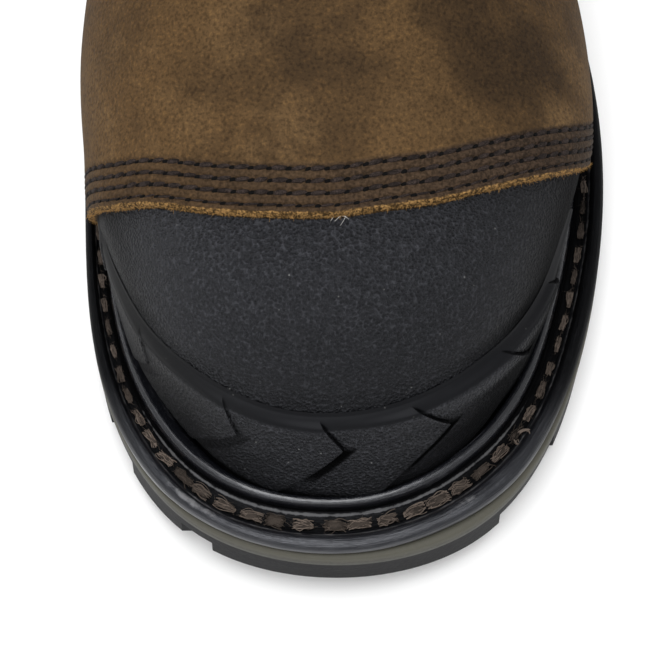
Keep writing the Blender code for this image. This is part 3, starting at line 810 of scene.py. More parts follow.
def sole_rubber():
    """Matt sole rubber with a moulded skin, greyed by dust."""
    look = Look("outsole_rubber_matt")
    c = colours().outsole
    dust = look.rise(look.noise(8, 5, 0.65), 0.40, 0.72)
    fine = look.noise(0.9, 3, 0.6)
    streak = look.rise(look.noise(3.0, 4, 0.65, (1.0, 1.0, 4.0)), 0.52, 0.75)
    base = look.mix(dust * 0.5, c, (0.009, 0.009, 0.010))
    base = look.mix(streak * 0.22, base, shade(c, 0.45))
    normal = look.bump(fine, 0.2, 0.45)
    normal = look.bump(look.noise(4, 3, 0.6), 0.5, 0.2, normal)
    return look.done(
        Base_Color=base, Roughness=0.6 + fine * 0.12, Specular_IOR_Level=0.14, Normal=normal)


def midsole_rubber():
    """Olive midsole rubber, paler along its upper edge as a painted highlight, and soiled below."""
    look = Look("midsole_olive")
    c = colours().midsole
    soil = look.rise(look.noise(7, 5, 0.65), 0.40, 0.70)
    fine = look.noise(0.8, 3, 0.6)
    # Painted highlight: the band's upper, rounded part is made paler
    pale = look.rise(look.mask("level") + (fine - 0.5) * 0.4, 0.45, 0.75)
    base = look.mix(soil * 0.45, c, shade(c, 0.62))
    base = look.mix(pale * 0.65, base, (0.074, 0.071, 0.056))
    return look.done(
        Base_Color=base, Roughness=0.6 + fine * 0.12, Specular_IOR_Level=0.3,
        Normal=look.bump(fine, 0.25, 0.5))


def insole_cloth():
    """Brushed cloth over the insole."""
    look = Look("insole_cloth")
    c = colours().insole
    weave = look.noise(0.7, 2, 0.6)
    base = look.mix(look.rise(look.noise(12, 3, 0.6), 0.4, 0.7) * 0.5, c, shade(c, 1.6))
    return look.done(Base_Color=base, Roughness=0.9, Normal=look.bump(weave, 0.3, 0.7))


def thread(name, tint, worn, fray):
    """Twisted thread, lighter where its fibres are worn."""
    look = Look(name)
    fibres = look.noise(0.22, 3, 0.7)
    soil = look.rise(look.noise(2.2, 3, 0.6), 0.42, 0.66)
    base = look.mix(look.rise(fibres, 0.42, 0.66) * fray, tint, worn)
    base = look.mix(soil * 0.6, base, shade(tint, 0.3))
    normal = look.bump(fibres, 0.25, 0.7)
    return look.done(Base_Color=base, Roughness=0.82, Specular_IOR_Level=0.1, Normal=normal)


def fibre(name, tint, worn):
    """Loose fibres, from one shade to another, darker where their mask says."""
    look = Look(name)
    base = look.mix(look.noise(1.4, 2, 0.6), tint, worn)
    base = look.mix(look.mask("soiled"), base, shade(tint, 0.25))
    return look.done(Base_Color=base, Roughness=0.85, Specular_IOR_Level=0.1)


STITCH_REACH = 0.45


def stations(points, normals, pitch, start=0.5):
    """Even places along a line of points: middle, direction and normal of each stitch."""
    run = way_along(points)
    count = max(int(round(run[-1] / pitch)), 1)
    at = (np.arange(count) + start) * run[-1] / count
    reach = pitch * STITCH_REACH
    ahead = vectors_along(np.minimum(at + reach, run[-1]), run, points)
    behind = vectors_along(np.maximum(at - reach, 0), run, points)
    return (ahead + behind) / 2, unit(ahead - behind), unit(vectors_along(at, run, normals))


def stitch_shape(length, width, thick, dip, around=10, steps=10, plies=2):
    """One stitch of twisted thread along x, arched so that both ends go into the material."""
    t = np.linspace(-1, 1, steps + 1)[:, None]
    angle = np.linspace(0, 2 * pi, around, endpoint=False)[None]
    taper = np.sqrt(np.clip(1 - np.abs(t)**5, 0.02, 1))
    ply = 1 + 0.16 * np.cos(plies * angle + t * 3.6)
    x = t * length / 2 + 0 * angle
    y = np.cos(angle) * width / 2 * taper * ply
    z = np.sin(angle) * thick / 2 * taper * ply + thick * 0.18 - dip * np.abs(t)**3
    points = np.stack([x, y, z], axis=-1).reshape(-1, 3)
    return points, grid_faces(steps + 1, around, round_columns=True)


def repeated(faces, count, each):
    """Faces of one shape for a count of copies of it, with this many points in each."""
    return (faces[None] + np.arange(count)[:, None, None] * each).reshape(-1, 4)


def row_of_stitches(places, shape, skew, seed, stretch=None):
    """Copies of one stitch at these places, each a little different and stretched as said."""
    middles, directions, normals = places
    template, faces = shape
    rng = np.random.default_rng(seed)
    sides = unit(np.cross(normals, directions))
    turn = np.radians(skew) + rng.normal(0, 0.05, len(middles))[:, None]
    ahead = directions * np.cos(turn) + sides * np.sin(turn)
    aside = unit(np.cross(normals, ahead))
    scale = rng.uniform(0.88, 1.1, (len(middles), 1, 3))
    if stretch is not None:
        scale = scale * stretch[:, None]
    own = template[None] * scale
    points = middles[:, None] + own[..., :1] * ahead[:, None] + own[..., 1:2] * aside[:, None]
    points = points + own[..., 2:] * normals[:, None]
    return points.reshape(-1, 3), repeated(faces, len(middles), len(template))


def joined(parts):
    """Several lists of points and faces as one."""
    points, faces, first = [], [], 0
    for part_points, part_faces in parts:
        points.append(part_points)
        faces.append(part_faces + first)
        first += len(part_points)
    return np.concatenate(points), np.concatenate(faces)


def tubes(lines, thick, around=3):
    """Round strands along lines of points, each point with its own thickness."""
    ahead = unit(np.gradient(lines, axis=1))
    aside = unit(np.cross(ahead, np.array([0.3, 0.5, 0.8])))
    up = np.cross(ahead, aside)
    angle = np.linspace(0, 2 * pi, around, endpoint=False)[:, None]
    ring = aside[:, :, None] * np.cos(angle) + up[:, :, None] * np.sin(angle)
    points = lines[:, :, None] + ring * np.broadcast_to(thick, lines.shape[:2])[..., None, None]
    count, steps = lines.shape[:2]
    faces = grid_faces(steps, around, round_columns=True)
    return points.reshape(-1, 3), repeated(faces, count, steps * around)


def hairs(roots, directions, curls, lengths, thick):
    """Thin curved fibres from their roots."""
    t = np.linspace(0, 1, 5)[None, :, None]
    lines = roots[:, None] + lengths[:, None, None] * (directions[:, None] * t + curls[:, None] * t**2)
    return tubes(lines, thick * (1 - 0.6 * t[..., 0]))


UPPER_COUNTS = Counts(4, 36, 96)
LINING_FROM = 0.26
EDGE_LEAD = 0.014
EDGE_TUCK = 0.25
EDGE_ROWS = 6
BAND_TURN = 0.17
UPPER_TURNS = np.concatenate([
    np.linspace(SEAM_TURN - EDGE_LEAD, SEAM_TURN, EDGE_ROWS, endpoint=False),
    np.linspace(SEAM_TURN, SEAM_TURN + BAND_TURN, 80, endpoint=False),
    np.linspace(SEAM_TURN + BAND_TURN, pi, 96, endpoint=False),
    np.linspace(pi, COLLAR_TURN, 66)])

SpotRow = namedtuple("SpotRow", "x from_toe reach strength")
# Oil-dark patches of the vamp, and rubbed golden ones
OILED_SPOTS = table(
    SpotRow, (-4, 88, 9, 0.60), (-9, 97, 8, 0.50), (2, 80, 8, 0.35), (37, 95, 13, 1.0),
    (30, 103, 12, 0.85), (43, 86, 10, 0.85), (26, 80, 7, 0.40), (18, 84, 10, 0.28), (-29, 90, 6, 0.30),
    (-47, 104, 6, 0.35), (10, 122, 14, 0.50), (36, 124, 16, 0.55), (-30, 160, 20, 0.45),
    (20, 210, 24, 0.40), (-38, 235, 22, 0.45))
RUBBED_SPOTS = table(
    SpotRow, (53, 103, 6, 0.40), (51, 85, 6, 0.65), (14, 90, 9, 0.05), (17, 76, 9, 0.08),
    (-12, 73, 8, 0.40), (-20, 97, 8, 0.30), (-33, 80, 8, 0.25), (-44, 140, 14, 0.40),
    (0, 300, 24, 0.35))
PlaceRow = namedtuple("PlaceRow", "place value")
# How dark the stitched band is, across the foot
STITCH_SHADE = table(PlaceRow, (-55, 0.35), (-25, 0.5), (0, 0.7), (35, 0.92), (56, 0.8))

CreaseRow = namedtuple("CreaseRow", "from_toe slant height reach depth")
# Soft flex folds across the vamp's instep and the ankle: where they cross the ridge line and how deep
FLEX_FOLDS = table(
    CreaseRow, (108, 0.35, 92, 7, -0.95), (117, 0.30, 96, 6, 0.75), (127, 0.42, 102, 8, -1.1),
    (139, 0.45, 110, 8, 0.8))

# Top edge of the vamp in the side view, from the instep down to the welt
VAMP_TOP = table(LineRow, (120, 131), (150, 117), (175, 98), (200, 70), (225, 34), (240, 8))
vamp_top = spline(*zip(*VAMP_TOP))
LAP_STEP = 0.9
LAP_RUN = 1.2
LAP_ROWS = (-2.6, -5.0)
STRAP_HALF_WIDTH = 13.0
STRAP_FROM = 240.0
HEM_HEIGHT = 15.0
HEM_STEP = 0.6
STITCH_INSET = 2.6
GROOVE_DEPTH = 0.45
FACING_GAP = 0.3
# The leather turns in over the collar to these rings below it
FACING_RINGS = (3, 7, 12, 18)
LINING_COUNTS = Counts(2, 12, 30)
SEAM_SWELL = 0.18
LEATHER_WAVE = 0.22


def spots(points, rows):
    """Soft patches round given places of the upper, seen from above."""
    total = np.zeros(points.shape[:-1])
    for row in rows:
        away = np.hypot(points[..., 0] - row.x, points[..., 1] - row.from_toe)
        total = np.maximum(total, row.strength * smooth(1.6 - away / row.reach))
    return total


def vamp_way(points):
    """How far a point of the upper lies behind the vamp's top edge, in millimetres or so."""
    from_toe = np.clip(points[..., 1], VAMP_TOP[0].from_toe, VAMP_TOP[-1].from_toe)
    past = points[..., 2] - vamp_top(from_toe) + 1.3 * (points[..., 1] - from_toe)
    return past / 1.6


BEND_REACH = 24.0
BEND_BLUR = 6.0


def eased(points, middle):
    """Columns of points with the bend at one row smoothed away, down to the welt's bead."""
    run = way_along(points)
    run -= run[middle]
    width = np.gradient(run, axis=0)
    result = points.copy()
    for j in range(points.shape[1]):
        near = np.abs(run[:, j]) < BEND_REACH + 3 * BEND_BLUR
        away, line = run[near, j], points[near, j]
        weights = np.exp(-((away[:, None] - away[None]) / BEND_BLUR)**2 / 2) * width[near, j]
        soft = weights @ line / weights.sum(axis=1, keepdims=True)
        share = hump(away, BEND_REACH) * smooth((line[:, 2] - SEAT_HEIGHT) / 6)
        result[near, j] = line + (soft - line) * share[:, None]
    return result


class UpperGrid:
    """The upper's outer face with its laps, hems, grooves and folds."""

    def __init__(self):
        s = sizes_mm()
        turns = UPPER_TURNS
        rings, normals = skin(turns, UPPER_COUNTS)
        self.normals = normals
        way = way_along(rings)
        way = way - way[EDGE_ROWS] - seam_shift(rings[EDGE_ROWS, :, 0])
        self.way = way
        self.rows = [s["row_first"] + k * s["row_gap"] for k in range(4)]
        ragged = ripple(rings, 5.0, 3) * 0.16 + ripple(rings, 1.9, 4) * 0.14
        run = s["edge_run"] + ragged
        depth = cap_depth(rings[:1])[0] + EDGE_TUCK
        relief = -depth[None] * np.clip(1 - way / run, 0, 1)**2.2
        for k, row in enumerate(self.rows):
            relief -= GROOVE_DEPTH * hump(way - row, 1.2 if k else 0.8)
        relief += SEAM_SWELL * hump(way - (self.rows[0] + self.rows[3]) / 2, 7.0)
        past = vamp_way(rings)
        relief -= LAP_STEP * smooth(past / LAP_RUN + 0.5)
        for row in LAP_ROWS:
            relief -= GROOVE_DEPTH * hump(past - row, 1.0)
        strap = (np.abs(rings[..., 0]) - STRAP_HALF_WIDTH) / LAP_RUN
        at_back = smooth((rings[..., 1] - STRAP_FROM) / 4) * smooth((past - 4) / 4)
        relief += LAP_STEP * smooth(0.5 - strap) * at_back
        inset = np.abs(rings[..., 0]) - STRAP_HALF_WIDTH + STITCH_INSET
        relief -= GROOVE_DEPTH * hump(inset, 1.0) * at_back
        down = np.linalg.norm(rings - rings[-1:], axis=2)
        self.down = down
        relief += HEM_STEP * smooth((HEM_HEIGHT - down) / LAP_RUN + 0.5)
        relief -= GROOVE_DEPTH * hump(down - HEM_HEIGHT + STITCH_INSET, 1.0)
        for fold in FLEX_FOLDS:
            across = rings[..., 1] - fold.from_toe + fold.slant * (rings[..., 2] - fold.height)
            upward = smooth((rings[..., 2] - 55) / 30) * (0.75 + 0.25 * ripple(rings, 30, 6))
            relief += fold.depth * hump(across, fold.reach) * upward
        relief += LEATHER_WAVE * ripple(rings, 42, 8) * smooth((way - 14) / 10)
        self.rings = rings
        outer = eased(rings + normals * relief[..., None], int(np.argmax(turns >= pi)))
        self.outer = closed(outer, rings, turns, UPPER_COUNTS)
        self.masks = {
            "raw": smooth((run + 0.15 - way) / 0.3),
            # under: painted shade along the foot of the cut edge
            "under": smooth((0.32 - way) / 0.3),
            "stitched": smooth(self.rows[3] + 1.5 - way) * value_along(STITCH_SHADE, rings[..., 0]),
            "oiled": spots(rings, OILED_SPOTS),
            "rubbed": spots(rings, RUBBED_SPOTS),
        }

    def row_at(self, distance):
        """Points and normals of the upper at a distance behind the seam."""
        columns = range(self.way.shape[1])
        return np.array([
            [vectors_along(distance, self.way[:, j], vectors[:, j]) for j in columns]
            for vectors in (self.outer, self.normals)])

    def crossing(self, field, level, columns):
        """Where a field first passes a level along the rings, for each of these columns."""
        points, normals = [], []
        for j in columns:
            values = field[:, j] - level
            change = np.nonzero((values[:-1] < 0) & (values[1:] >= 0))[0]
            if len(change):
                i = change[0]
                share = -values[i] / (values[i + 1] - values[i])
                points.append(between(self.outer[i, j], self.outer[i + 1, j], share))
                normals.append(between(self.normals[i, j], self.normals[i + 1, j], share))
        return np.array(points), np.array(normals)

    def along_ring(self, distance, side, first):
        """Where each ring from the first on is this far from the back's middle, on one side."""
        points, normals = [], []
        columns = np.arange(self.rings.shape[1])[::side][:self.rings.shape[1] // 2]
        for i in range(first, len(self.rings)):
            x = np.abs(self.rings[i, columns, 0])
            at = int(np.argmax(x > distance))
            if at > 0:
                share = (distance - x[at - 1]) / (x[at] - x[at - 1])
                a, b = columns[at - 1], columns[at]
                points.append(between(self.outer[i, a], self.outer[i, b], share))
                normals.append(between(self.normals[i, a], self.normals[i, b], share))
        return np.array(points), np.array(normals)


@cache
def upper_grid():
    """The upper's grid, kept for the stitches and fibres until the upper is made anew."""
    return UpperGrid()


class BOOT_OT_upper(bpy.types.Operator):
    """Leather upper with its raw front edge, laps and hem, and the lining inside it"""
    bl_idname = "boot.upper"
    bl_label = "Upper"

    def execute(self, context):
        upper_grid.cache_clear()
        grid = upper_grid()
        outer, normals = grid.outer, grid.normals
        facing = grid.rings - normals * (WALL_THICK + FACING_GAP)
        facing = closed(facing, grid.rings, UPPER_TURNS, UPPER_COUNTS)
        middle = (outer[-1] + facing[-1]) / 2
        half = (outer[-1] - facing[-1]) / 2
        lift = np.linalg.norm(half, axis=1)[:, None] * np.array([0, 0, 1.0])
        roll = [middle + half * cos(angle) + lift * sin(angle) for angle in np.linspace(0, pi, 7)[1:]]
        inside = [facing[-1 - back] for back in FACING_RINGS]
        points = np.concatenate([outer, np.array(roll), np.array(inside)])
        rows, columns = points.shape[:2]
        masks = {}
        for name, values in grid.masks.items():
            masks[name] = np.concatenate([values, np.repeat(values[-1:], rows - len(values), axis=0)])
        faces = grid_faces(rows, columns)
        piece("upper_leather", points.reshape(-1, 3), faces, [nubuck()], "upper", masks)

        ahead = np.linspace(LINING_FROM, UPPER_TURNS[0], 32, endpoint=False)
        turns = np.concatenate([ahead, UPPER_TURNS[::3]])
        rings, normals = skin(turns, LINING_COUNTS)
        recess = cap_depth(rings)[..., None] + CAP_THICK + CAP_GAP
        padded = smooth(1 - (turns - SEAM_TURN) / LINING_RAMP)[:, None, None]
        inner = rings - normals * (WALL_THICK + padded * recess)
        inner = closed(inner, rings, turns, LINING_COUNTS)
        seated = turns <= pi
        inner[seated, :, 2] = np.maximum(inner[seated, :, 2], rings[seated, :1, 2])
        faces = grid_faces(*inner.shape[:2])
        piece("upper_lining", inner.reshape(-1, 3), faces, [lining_cloth()])
        return {"FINISHED"}


CAP_COUNTS = Counts(8, 50, 64)
CAP_SHARP = radians(50)
CAP_TURNS = np.concatenate([
    np.linspace(0, 0.5, 90, endpoint=False),
    np.linspace(0.5, SEAM_TURN + 0.055, 80)])
WALL_TURNS = np.concatenate([
    np.linspace(0.004, 0.5, 150, endpoint=False),
    np.linspace(0.5, SEAM_TURN + 0.16, 100)])
TABLE_STEP = 0.5
TABLE_ARCS = np.arange(-112, 130.1, TABLE_STEP)
TABLE_HEIGHTS = np.arange(1.0, 36.1, TABLE_STEP)
TIP_SHARE = 0.72
UPPER_ARM_LEAN = 1.0
# Lean of the scales' lower arms by arc
LOWER_ARM_LEAN = table(PlaceRow, (-35, 0.9), (0, 1.15), (20, 1.5), (40, 1.3), (60, 1.0))
SIDE_BULGE = 2.2
BAND_WAVE = 0.05
LAST_PITCH = 20.0
LEAN_ROUNDS = 12
# Places across one scale, from the step behind it (0) to its own pointed edge (1)
SCALE_SHARES = np.concatenate([
    [0.0, 0.005, 0.012, 0.024], np.linspace(0.04, 0.94, 30), [0.962, 0.978, 0.99, 0.996, 0.9985]])
BAND_SHARES = np.concatenate([np.linspace(0.1, 0.86, 44, endpoint=False), np.linspace(0.86, 1.03, 24)])


class CapWall:
    """The cap's smooth face by arc round the feather edge and height above it."""

    def __init__(self):
        rings, normals = skin(WALL_TURNS, CAP_COUNTS)
        face = rings - normals * cap_depth(rings)[..., None]
        arcs, heights = feather_arcs(face)
        turns = np.broadcast_to(WALL_TURNS[:, None], arcs.shape)
        data = np.concatenate([arcs[..., None], face, normals, turns[..., None]], axis=-1)
        ridge = data.shape[1] // 2
        sides = slice(ridge + 1), slice(None, ridge - 1, -1)
        halves = [(data[:, side], heights[:, side]) for side in sides]
        self.table = np.empty((len(TABLE_HEIGHTS), len(TABLE_ARCS), data.shape[2] - 1))
        for i, height in enumerate(TABLE_HEIGHTS):
            rows = [self.crossing(data[:, ridge], heights[:, ridge], height)]
            for half, climbs in halves:
                for line, climb in zip(half, climbs):
                    if climb[-1] > height:
                        rows.append(self.crossing(line, climb, height))
            rows = np.array(sorted(rows, key=lambda row: row[0]))
            for k in range(1, data.shape[2]):
                self.table[i, :, k - 1] = np.interp(TABLE_ARCS, rows[:, 0], rows[:, k])

    def crossing(self, line, climb, height):
        """Values of a line of points where it first climbs past a height."""
        i = max(int(np.argmax(climb > height)), 1)
        share = np.clip((height - climb[i - 1]) / max(climb[i] - climb[i - 1], 1e-9), 0, 1)
        return between(line[i - 1], line[i], share)

    def at(self, arcs, heights):
        """Points, normals and turns at these arcs and heights."""
        a = np.clip((arcs - TABLE_ARCS[0]) / TABLE_STEP, 0, len(TABLE_ARCS) - 1.001)
        h = np.clip((heights - TABLE_HEIGHTS[0]) / TABLE_STEP, 0, len(TABLE_HEIGHTS) - 1.001)
        i, j = h.astype(int), a.astype(int)
        v, u = (h - i)[..., None], (a - j)[..., None]
        low = between(self.table[i, j], self.table[i, j + 1], u)
        high = between(self.table[i + 1, j], self.table[i + 1, j + 1], u)
        values = between(low, high, v)
        return values[..., :3], unit(values[..., 3:6]), values[..., 6]


def scale_lean(arcs, heights):
    """How far a scale's edge lies behind its tip at a height: an arrow pointing to the inner side."""
    above = heights - TIP_SHARE * crease_height(arcs)
    return np.where(above > 0, above * UPPER_ARM_LEAN, -above * value_along(LOWER_ARM_LEAN, arcs))


def cap_side(arcs):
    """From 0 over the cap's front to 1 at its sides."""
    return smooth((np.abs(arcs) - 62) / 40)


def cap_band(step, ledge):
    """Grid of the band of scales below the cap's crease, cut off where the vamp covers it."""
    wall = CapWall()
    pitches = np.diff([*SCALE_TIPS, SCALE_TIPS[-1] + LAST_PITCH])
    along = np.concatenate([tip + SCALE_SHARES * pitch for tip, pitch in zip(SCALE_TIPS, pitches)])
    away = np.concatenate([SCALE_SHARES * pitch for pitch in pitches])[None]
    share = np.tile(SCALE_SHARES, len(SCALE_TIPS))
    along, shares = np.meshgrid(along, BAND_SHARES)
    arcs = along.copy()
    for _ in range(LEAN_ROUNDS):
        arcs = along - scale_lean(arcs, shares * crease_height(arcs))
    heights = shares * crease_height(arcs)
    points, normals, turns = wall.at(arcs, heights)
    side = cap_side(arcs)
    lateral = smooth((-arcs - 50) / 30)
    # Steps are cut deeper towards the inner side, and end where the vamp lies over them
    deep = 0.3 + 0.7 * smooth((arcs + 42) / 48)
    shown = smooth((SEAM_TURN - 0.01 - turns) / 0.05)
    below = (1 - shares) * crease_height(arcs)
    rounded = 1 - 0.16 * smooth((share - 0.97) / 0.03)
    cut = smooth((below - 0.7) / 1.3)
    relief = step * (share**1.6 * rounded)[None] * cut * (1 - 0.3 * side) * (0.25 + 0.75 * deep)
    # A hollow lies under each step, wider along the arrow's lower arm than along its upper one
    lower = smooth((TIP_SHARE + 0.03 - shares) / 0.06)
    ends = smooth((shares - 0.28) / 0.14)
    upper = (1 - lower) * smooth((arcs + 48) / 30)
    under = lower * ends * 0.5 * smooth(1 - away / 2.3) + upper * 0.35 * smooth(1 - away)
    relief -= cut * deep * under
    # The whole band stands out, most at the front, and bulges at the inner side
    relief = (relief + ledge * (1 - 0.5 * side - 0.35 * lateral)) * shown
    bulge = hump(arcs - 52, 42) * smooth((1 - shares) / 0.2) * smooth(shares / 0.35)
    relief += SIDE_BULGE * bulge * shown
    # Its upper edge is tucked in under the dome
    tuck = np.clip(1 - below / 2.4, 0, 1)**2
    relief = relief * (1 - tuck) - (0.25 + 1.3 * (1 - shown)) * tuck
    relief += BAND_WAVE * ripple(points, 24, 11)
    keep = turns < SEAM_TURN + 0.05
    grain = smooth((below - 2.2) / 1.2)
    # The hollows and the foot of the band are matt black: painted shade under the steps and along the
    # welt
    foot = lower * smooth((4.3 - away) / 1.1) + upper * 0.7 * smooth(1 - away / 0.8)
    foot = cut * shown * deep * ends * foot
    foot = np.maximum(foot, 0.92 * smooth((0.25 - shares) / 0.12))
    return points + normals * relief[..., None], keep, grain, foot


def dusty_side(arcs, heights):
    """Where dust dulls the cap: its lateral wall."""
    return hump(arcs + 62, 48) * smooth(heights / 5) * smooth((34 - heights) / 10)


# Depth of the dip above the crease, and of the dome's lower edge under the band
CREASE_DEPTH = 0.45
DOME_SINK = 0.9
DOME_WAVE = 0.10
# Middle and half-widths of the polished crown, seen from above; away from it the cap gets painted shade
CROWN_AT = (-9, 60)
CROWN_REACH = (44, 30)
# Share of the crown's polish that the band has; the rest of it is painted shade
BAND_POLISH_AND_SHADE = 0.55


def crown_polish_and_outer_shade(points):
    """Where wear has polished the cap: its crown, more to the lateral side. Away from it the cap is
    dulled towards black as painted shade.
    """
    away = (points[..., :2] - CROWN_AT) / CROWN_REACH
    return smooth(1.35 - np.hypot(away[..., 0], away[..., 1]))


class BOOT_OT_toe_cap(bpy.types.Operator):
    """Moulded rubber toe cap with a creased dome over a band of overlapping scales"""
    bl_idname = "boot.toe_cap"
    bl_label = "Toe cap"

    def execute(self, context):
        s = sizes_mm()
        rings, normals = skin(CAP_TURNS, CAP_COUNTS)
        face = rings - normals * cap_depth(rings)[..., None]
        arcs, heights = feather_arcs(face)
        below = crease_height(arcs) - heights
        side = cap_side(arcs)
        relief = -CREASE_DEPTH * (1 - 0.7 * side) * hump(below + 0.8, 5.0)
        relief -= DOME_SINK * smooth((below - 0.6) / 1.5)
        relief += DOME_WAVE * ripple(face, 26, 11)
        dome = face + normals * relief[..., None]
        band, keep, grain, foot = cap_band(s["scale_step"], s["band_step"])
        first = dome[..., 0].size
        faces = grid_faces(*band.shape[:2], first=first)
        shown = keep.reshape(-1)[faces - first].all(axis=1)
        points = np.concatenate([dome.reshape(-1, 3), band.reshape(-1, 3)])
        faces = np.concatenate([grid_faces(*dome.shape[:2]), faces[shown]])
        masks = {
            "grain": np.concatenate([np.ones(first), grain.ravel()]),
            # foot: painted shade in the band's hollows and along its foot
            "foot": np.concatenate([np.zeros(first), foot.ravel()]),
            "polish_and_painted_shade": np.concatenate([crown_polish_and_outer_shade(dome).ravel(), np.full(keep.size, BAND_POLISH_AND_SHADE)]),
            "dusty": np.concatenate([
                dusty_side(arcs, heights).ravel(), dusty_side(*feather_arcs(band)).ravel()]),
        }
        look = cap_rubber()
        piece("toe_cap_rubber", points, faces, [look], "toe_cap", masks, sharp=CAP_SHARP)
        return {"FINISHED"}


def rim_point(edge, turn):
    """Point of an edge at a turn right round it, from the toe by the medial side."""
    turn = turn % (2 * pi)
    side = 1 if turn <= pi else -1
    half_turn = turn if turn <= pi else 2 * pi - turn
    half = edge.medial(half_turn) if side > 0 else edge.lateral(half_turn)
    return np.array([side * float(half), length_at(half_turn, edge.start, edge.end)])


def swept(across, heights, turns):
    """A section carried right round the boot between the sole's edge and the feather edge."""
    lips = np.array([rim_point(SOLE, turn) for turn in turns])
    feathers = np.array([rim_point(FEATHER, turn) for turn in turns])
    across = np.broadcast_to(across, (len(turns), len(heights)))
    plan = lips[:, None] + (feathers - lips)[:, None] * across[..., None]
    return np.concatenate([plan, (top_line(plan[..., 1]) + heights)[..., None]], axis=-1)


def lines_at(turns):
    """The welt's own lines at turns right round the boot."""
    return welt_lines((turns + pi) % (2 * pi) - pi)


# Where WELT_SECTION has its lip, the groove's two edges and the bead
SECTION_MARKS = [0, 0.055, 0.33, 0.655, 0.83, 0.885, 0.95]


def welt_across(across, turns):
    """A section's shares of the way in, moved to the welt's own lines at each turn."""
    moved = []
    for outer, lip_edge, groove_in, bead in lines_at(turns):
        marks = [0, outer, lip_edge, groove_in, bead, bead + 0.055, max(0.95, bead + 0.10)]
        moved.append(np.interp(across, SECTION_MARKS, marks))
    return np.array(moved)


SECTION_STEPS = 64
# The sweep starts and ends at the heel's back
WELT_TURNS = pi + np.linspace(0, 2 * pi, 480, endpoint=False)


def fine_section(rows, count):
    """A section's rows as a finer smooth line."""
    corners = np.array(rows)
    run = way_along(corners * (10, 1))
    line = spline(run, corners)
    return line(np.linspace(0, run[-1], count))


class BOOT_OT_welt(bpy.types.Operator):
    """Storm welt with its bead, stitch groove and rounded lip"""
    bl_idname = "boot.welt"
    bl_label = "Welt"

    def execute(self, context):
        section = fine_section(WELT_SECTION, SECTION_STEPS)
        points = swept(welt_across(section[:, 0], WELT_TURNS), section[:, 1], WELT_TURNS)
        across = section[:, 0]
        # Painted shade, matt black, in the groove and on the lip's sides; worn beside the groove and at
        # the front corners
        signed = ((WELT_TURNS + pi) % (2 * pi) - pi)[:, None]
        aside = np.abs(signed)
        groove = smooth((across - 0.34) / 0.04) * smooth((0.72 - across) / 0.03)
        lip = smooth((aside - 0.48) / 0.3) * smooth((0.36 - across) / 0.04)
        worn = hump(across - 0.335, 0.05) * 0.7
        worn = worn + hump(across - 0.635, 0.045) * smooth((0.8 - aside) / 0.3)
        corners = 0.85 * hump(signed + 0.36, 0.18) + 0.6 * hump(signed - 0.34, 0.15)
        worn = worn + hump(across - 0.2, 0.15) * corners
        masks = {
            "welt_painted_shade": np.maximum(0.9 * groove, 0.85 * lip),
            "worn": worn,
            "across": np.broadcast_to(across, points.shape[:2]),
        }
        wobble = ripple(points, 38, 12) * 0.12 + ripple(points, 6, 13) * 0.05
        points[..., 2] += wobble * smooth(section[:, 1] / 2.0)
        faces = grid_faces(*points.shape[:2], round_rows=True, round_columns=True)
        piece("welt_rubber", points.reshape(-1, 3), faces, [welt_rubber()], "welt", masks)
        return {"FINISHED"}


LOOSE_LOOP_AT = (41.2, 30.6)
THREAD_ACROSS = 0.44
THREAD_HEIGHT = 1.95
STRANDS = 10
STRAND_STEPS = 9
LOOSE_FIBRES = 3400
# Shares of the welt stitches' full width and length, by the way back from the toe
STITCH_WIDTHS = table(PlaceRow, (10, 1), (26, 0.62), (48, 0.38))
STITCH_LENGTHS = table(PlaceRow, (14, 1), (48, 0.72))


def loose_loop(middles, directions, rng):
    """A loop of thread worked loose from the welt at the inner side of the toe, with its strands."""
    near = int(np.argmin(np.hypot(middles[:, 0] - LOOSE_LOOP_AT[0], middles[:, 1] - LOOSE_LOOP_AT[1])))
    root, ahead = middles[near], directions[near]
    out = unit(np.cross(ahead, (0, 0, 1)))
    t = np.linspace(-0.2, 1.15, 26)[None, :, None]
    angle = t * 2 * pi * 0.75
    line = root + ahead * (1.9 * np.sin(angle)) + out * (0.4 + 1.7 * (1 - np.cos(angle))) * 0.9
    line = line + np.array([0, 0, 1.3]) * np.sin(np.clip(t, 0, 1) * pi)
    return tubes(line + rng.normal(0, 0.16, (7, 1, 3)) * (0.6 + t), 0.13, 5)


def strands(places, pitch, width, rise, count, rng):
    """Fine strands lying side by side along each stitch, drawn together at its ends."""
    middles, directions, normals = (part[:, None, None] for part in places)
    asides = unit(np.cross(normals, directions))
    shape = (middles.shape[0], count, 1)
    t = np.linspace(-1, 1, STRAND_STEPS)
    offset = np.linspace(-1, 1, count)[None, :, None] + rng.normal(0, 0.14, shape)
    sway = offset * (1 - 0.4 * t**2) + rng.normal(0, 0.4, shape) * t
    sway = sway + rng.normal(0, 0.2, shape) * np.sin(t * rng.uniform(2, 6, shape))
    arch = np.sqrt(np.clip(1 - 0.75 * offset**2, 0.1, 1)) * (1 - 1.2 * np.abs(t)**3)
    height = rise * arch + rng.normal(0, 0.09, shape)
    reach = pitch * rng.uniform(0.36, 0.44, shape)
    lines = middles + directions * (reach * t)[..., None]
    lines = lines + asides * (width / 2 * sway)[..., None] + normals * height[..., None]
    thick = rng.uniform(0.07, 0.16, (shape[0] * count, 1))
    return tubes(lines.reshape(-1, STRAND_STEPS, 3), thick, 4)


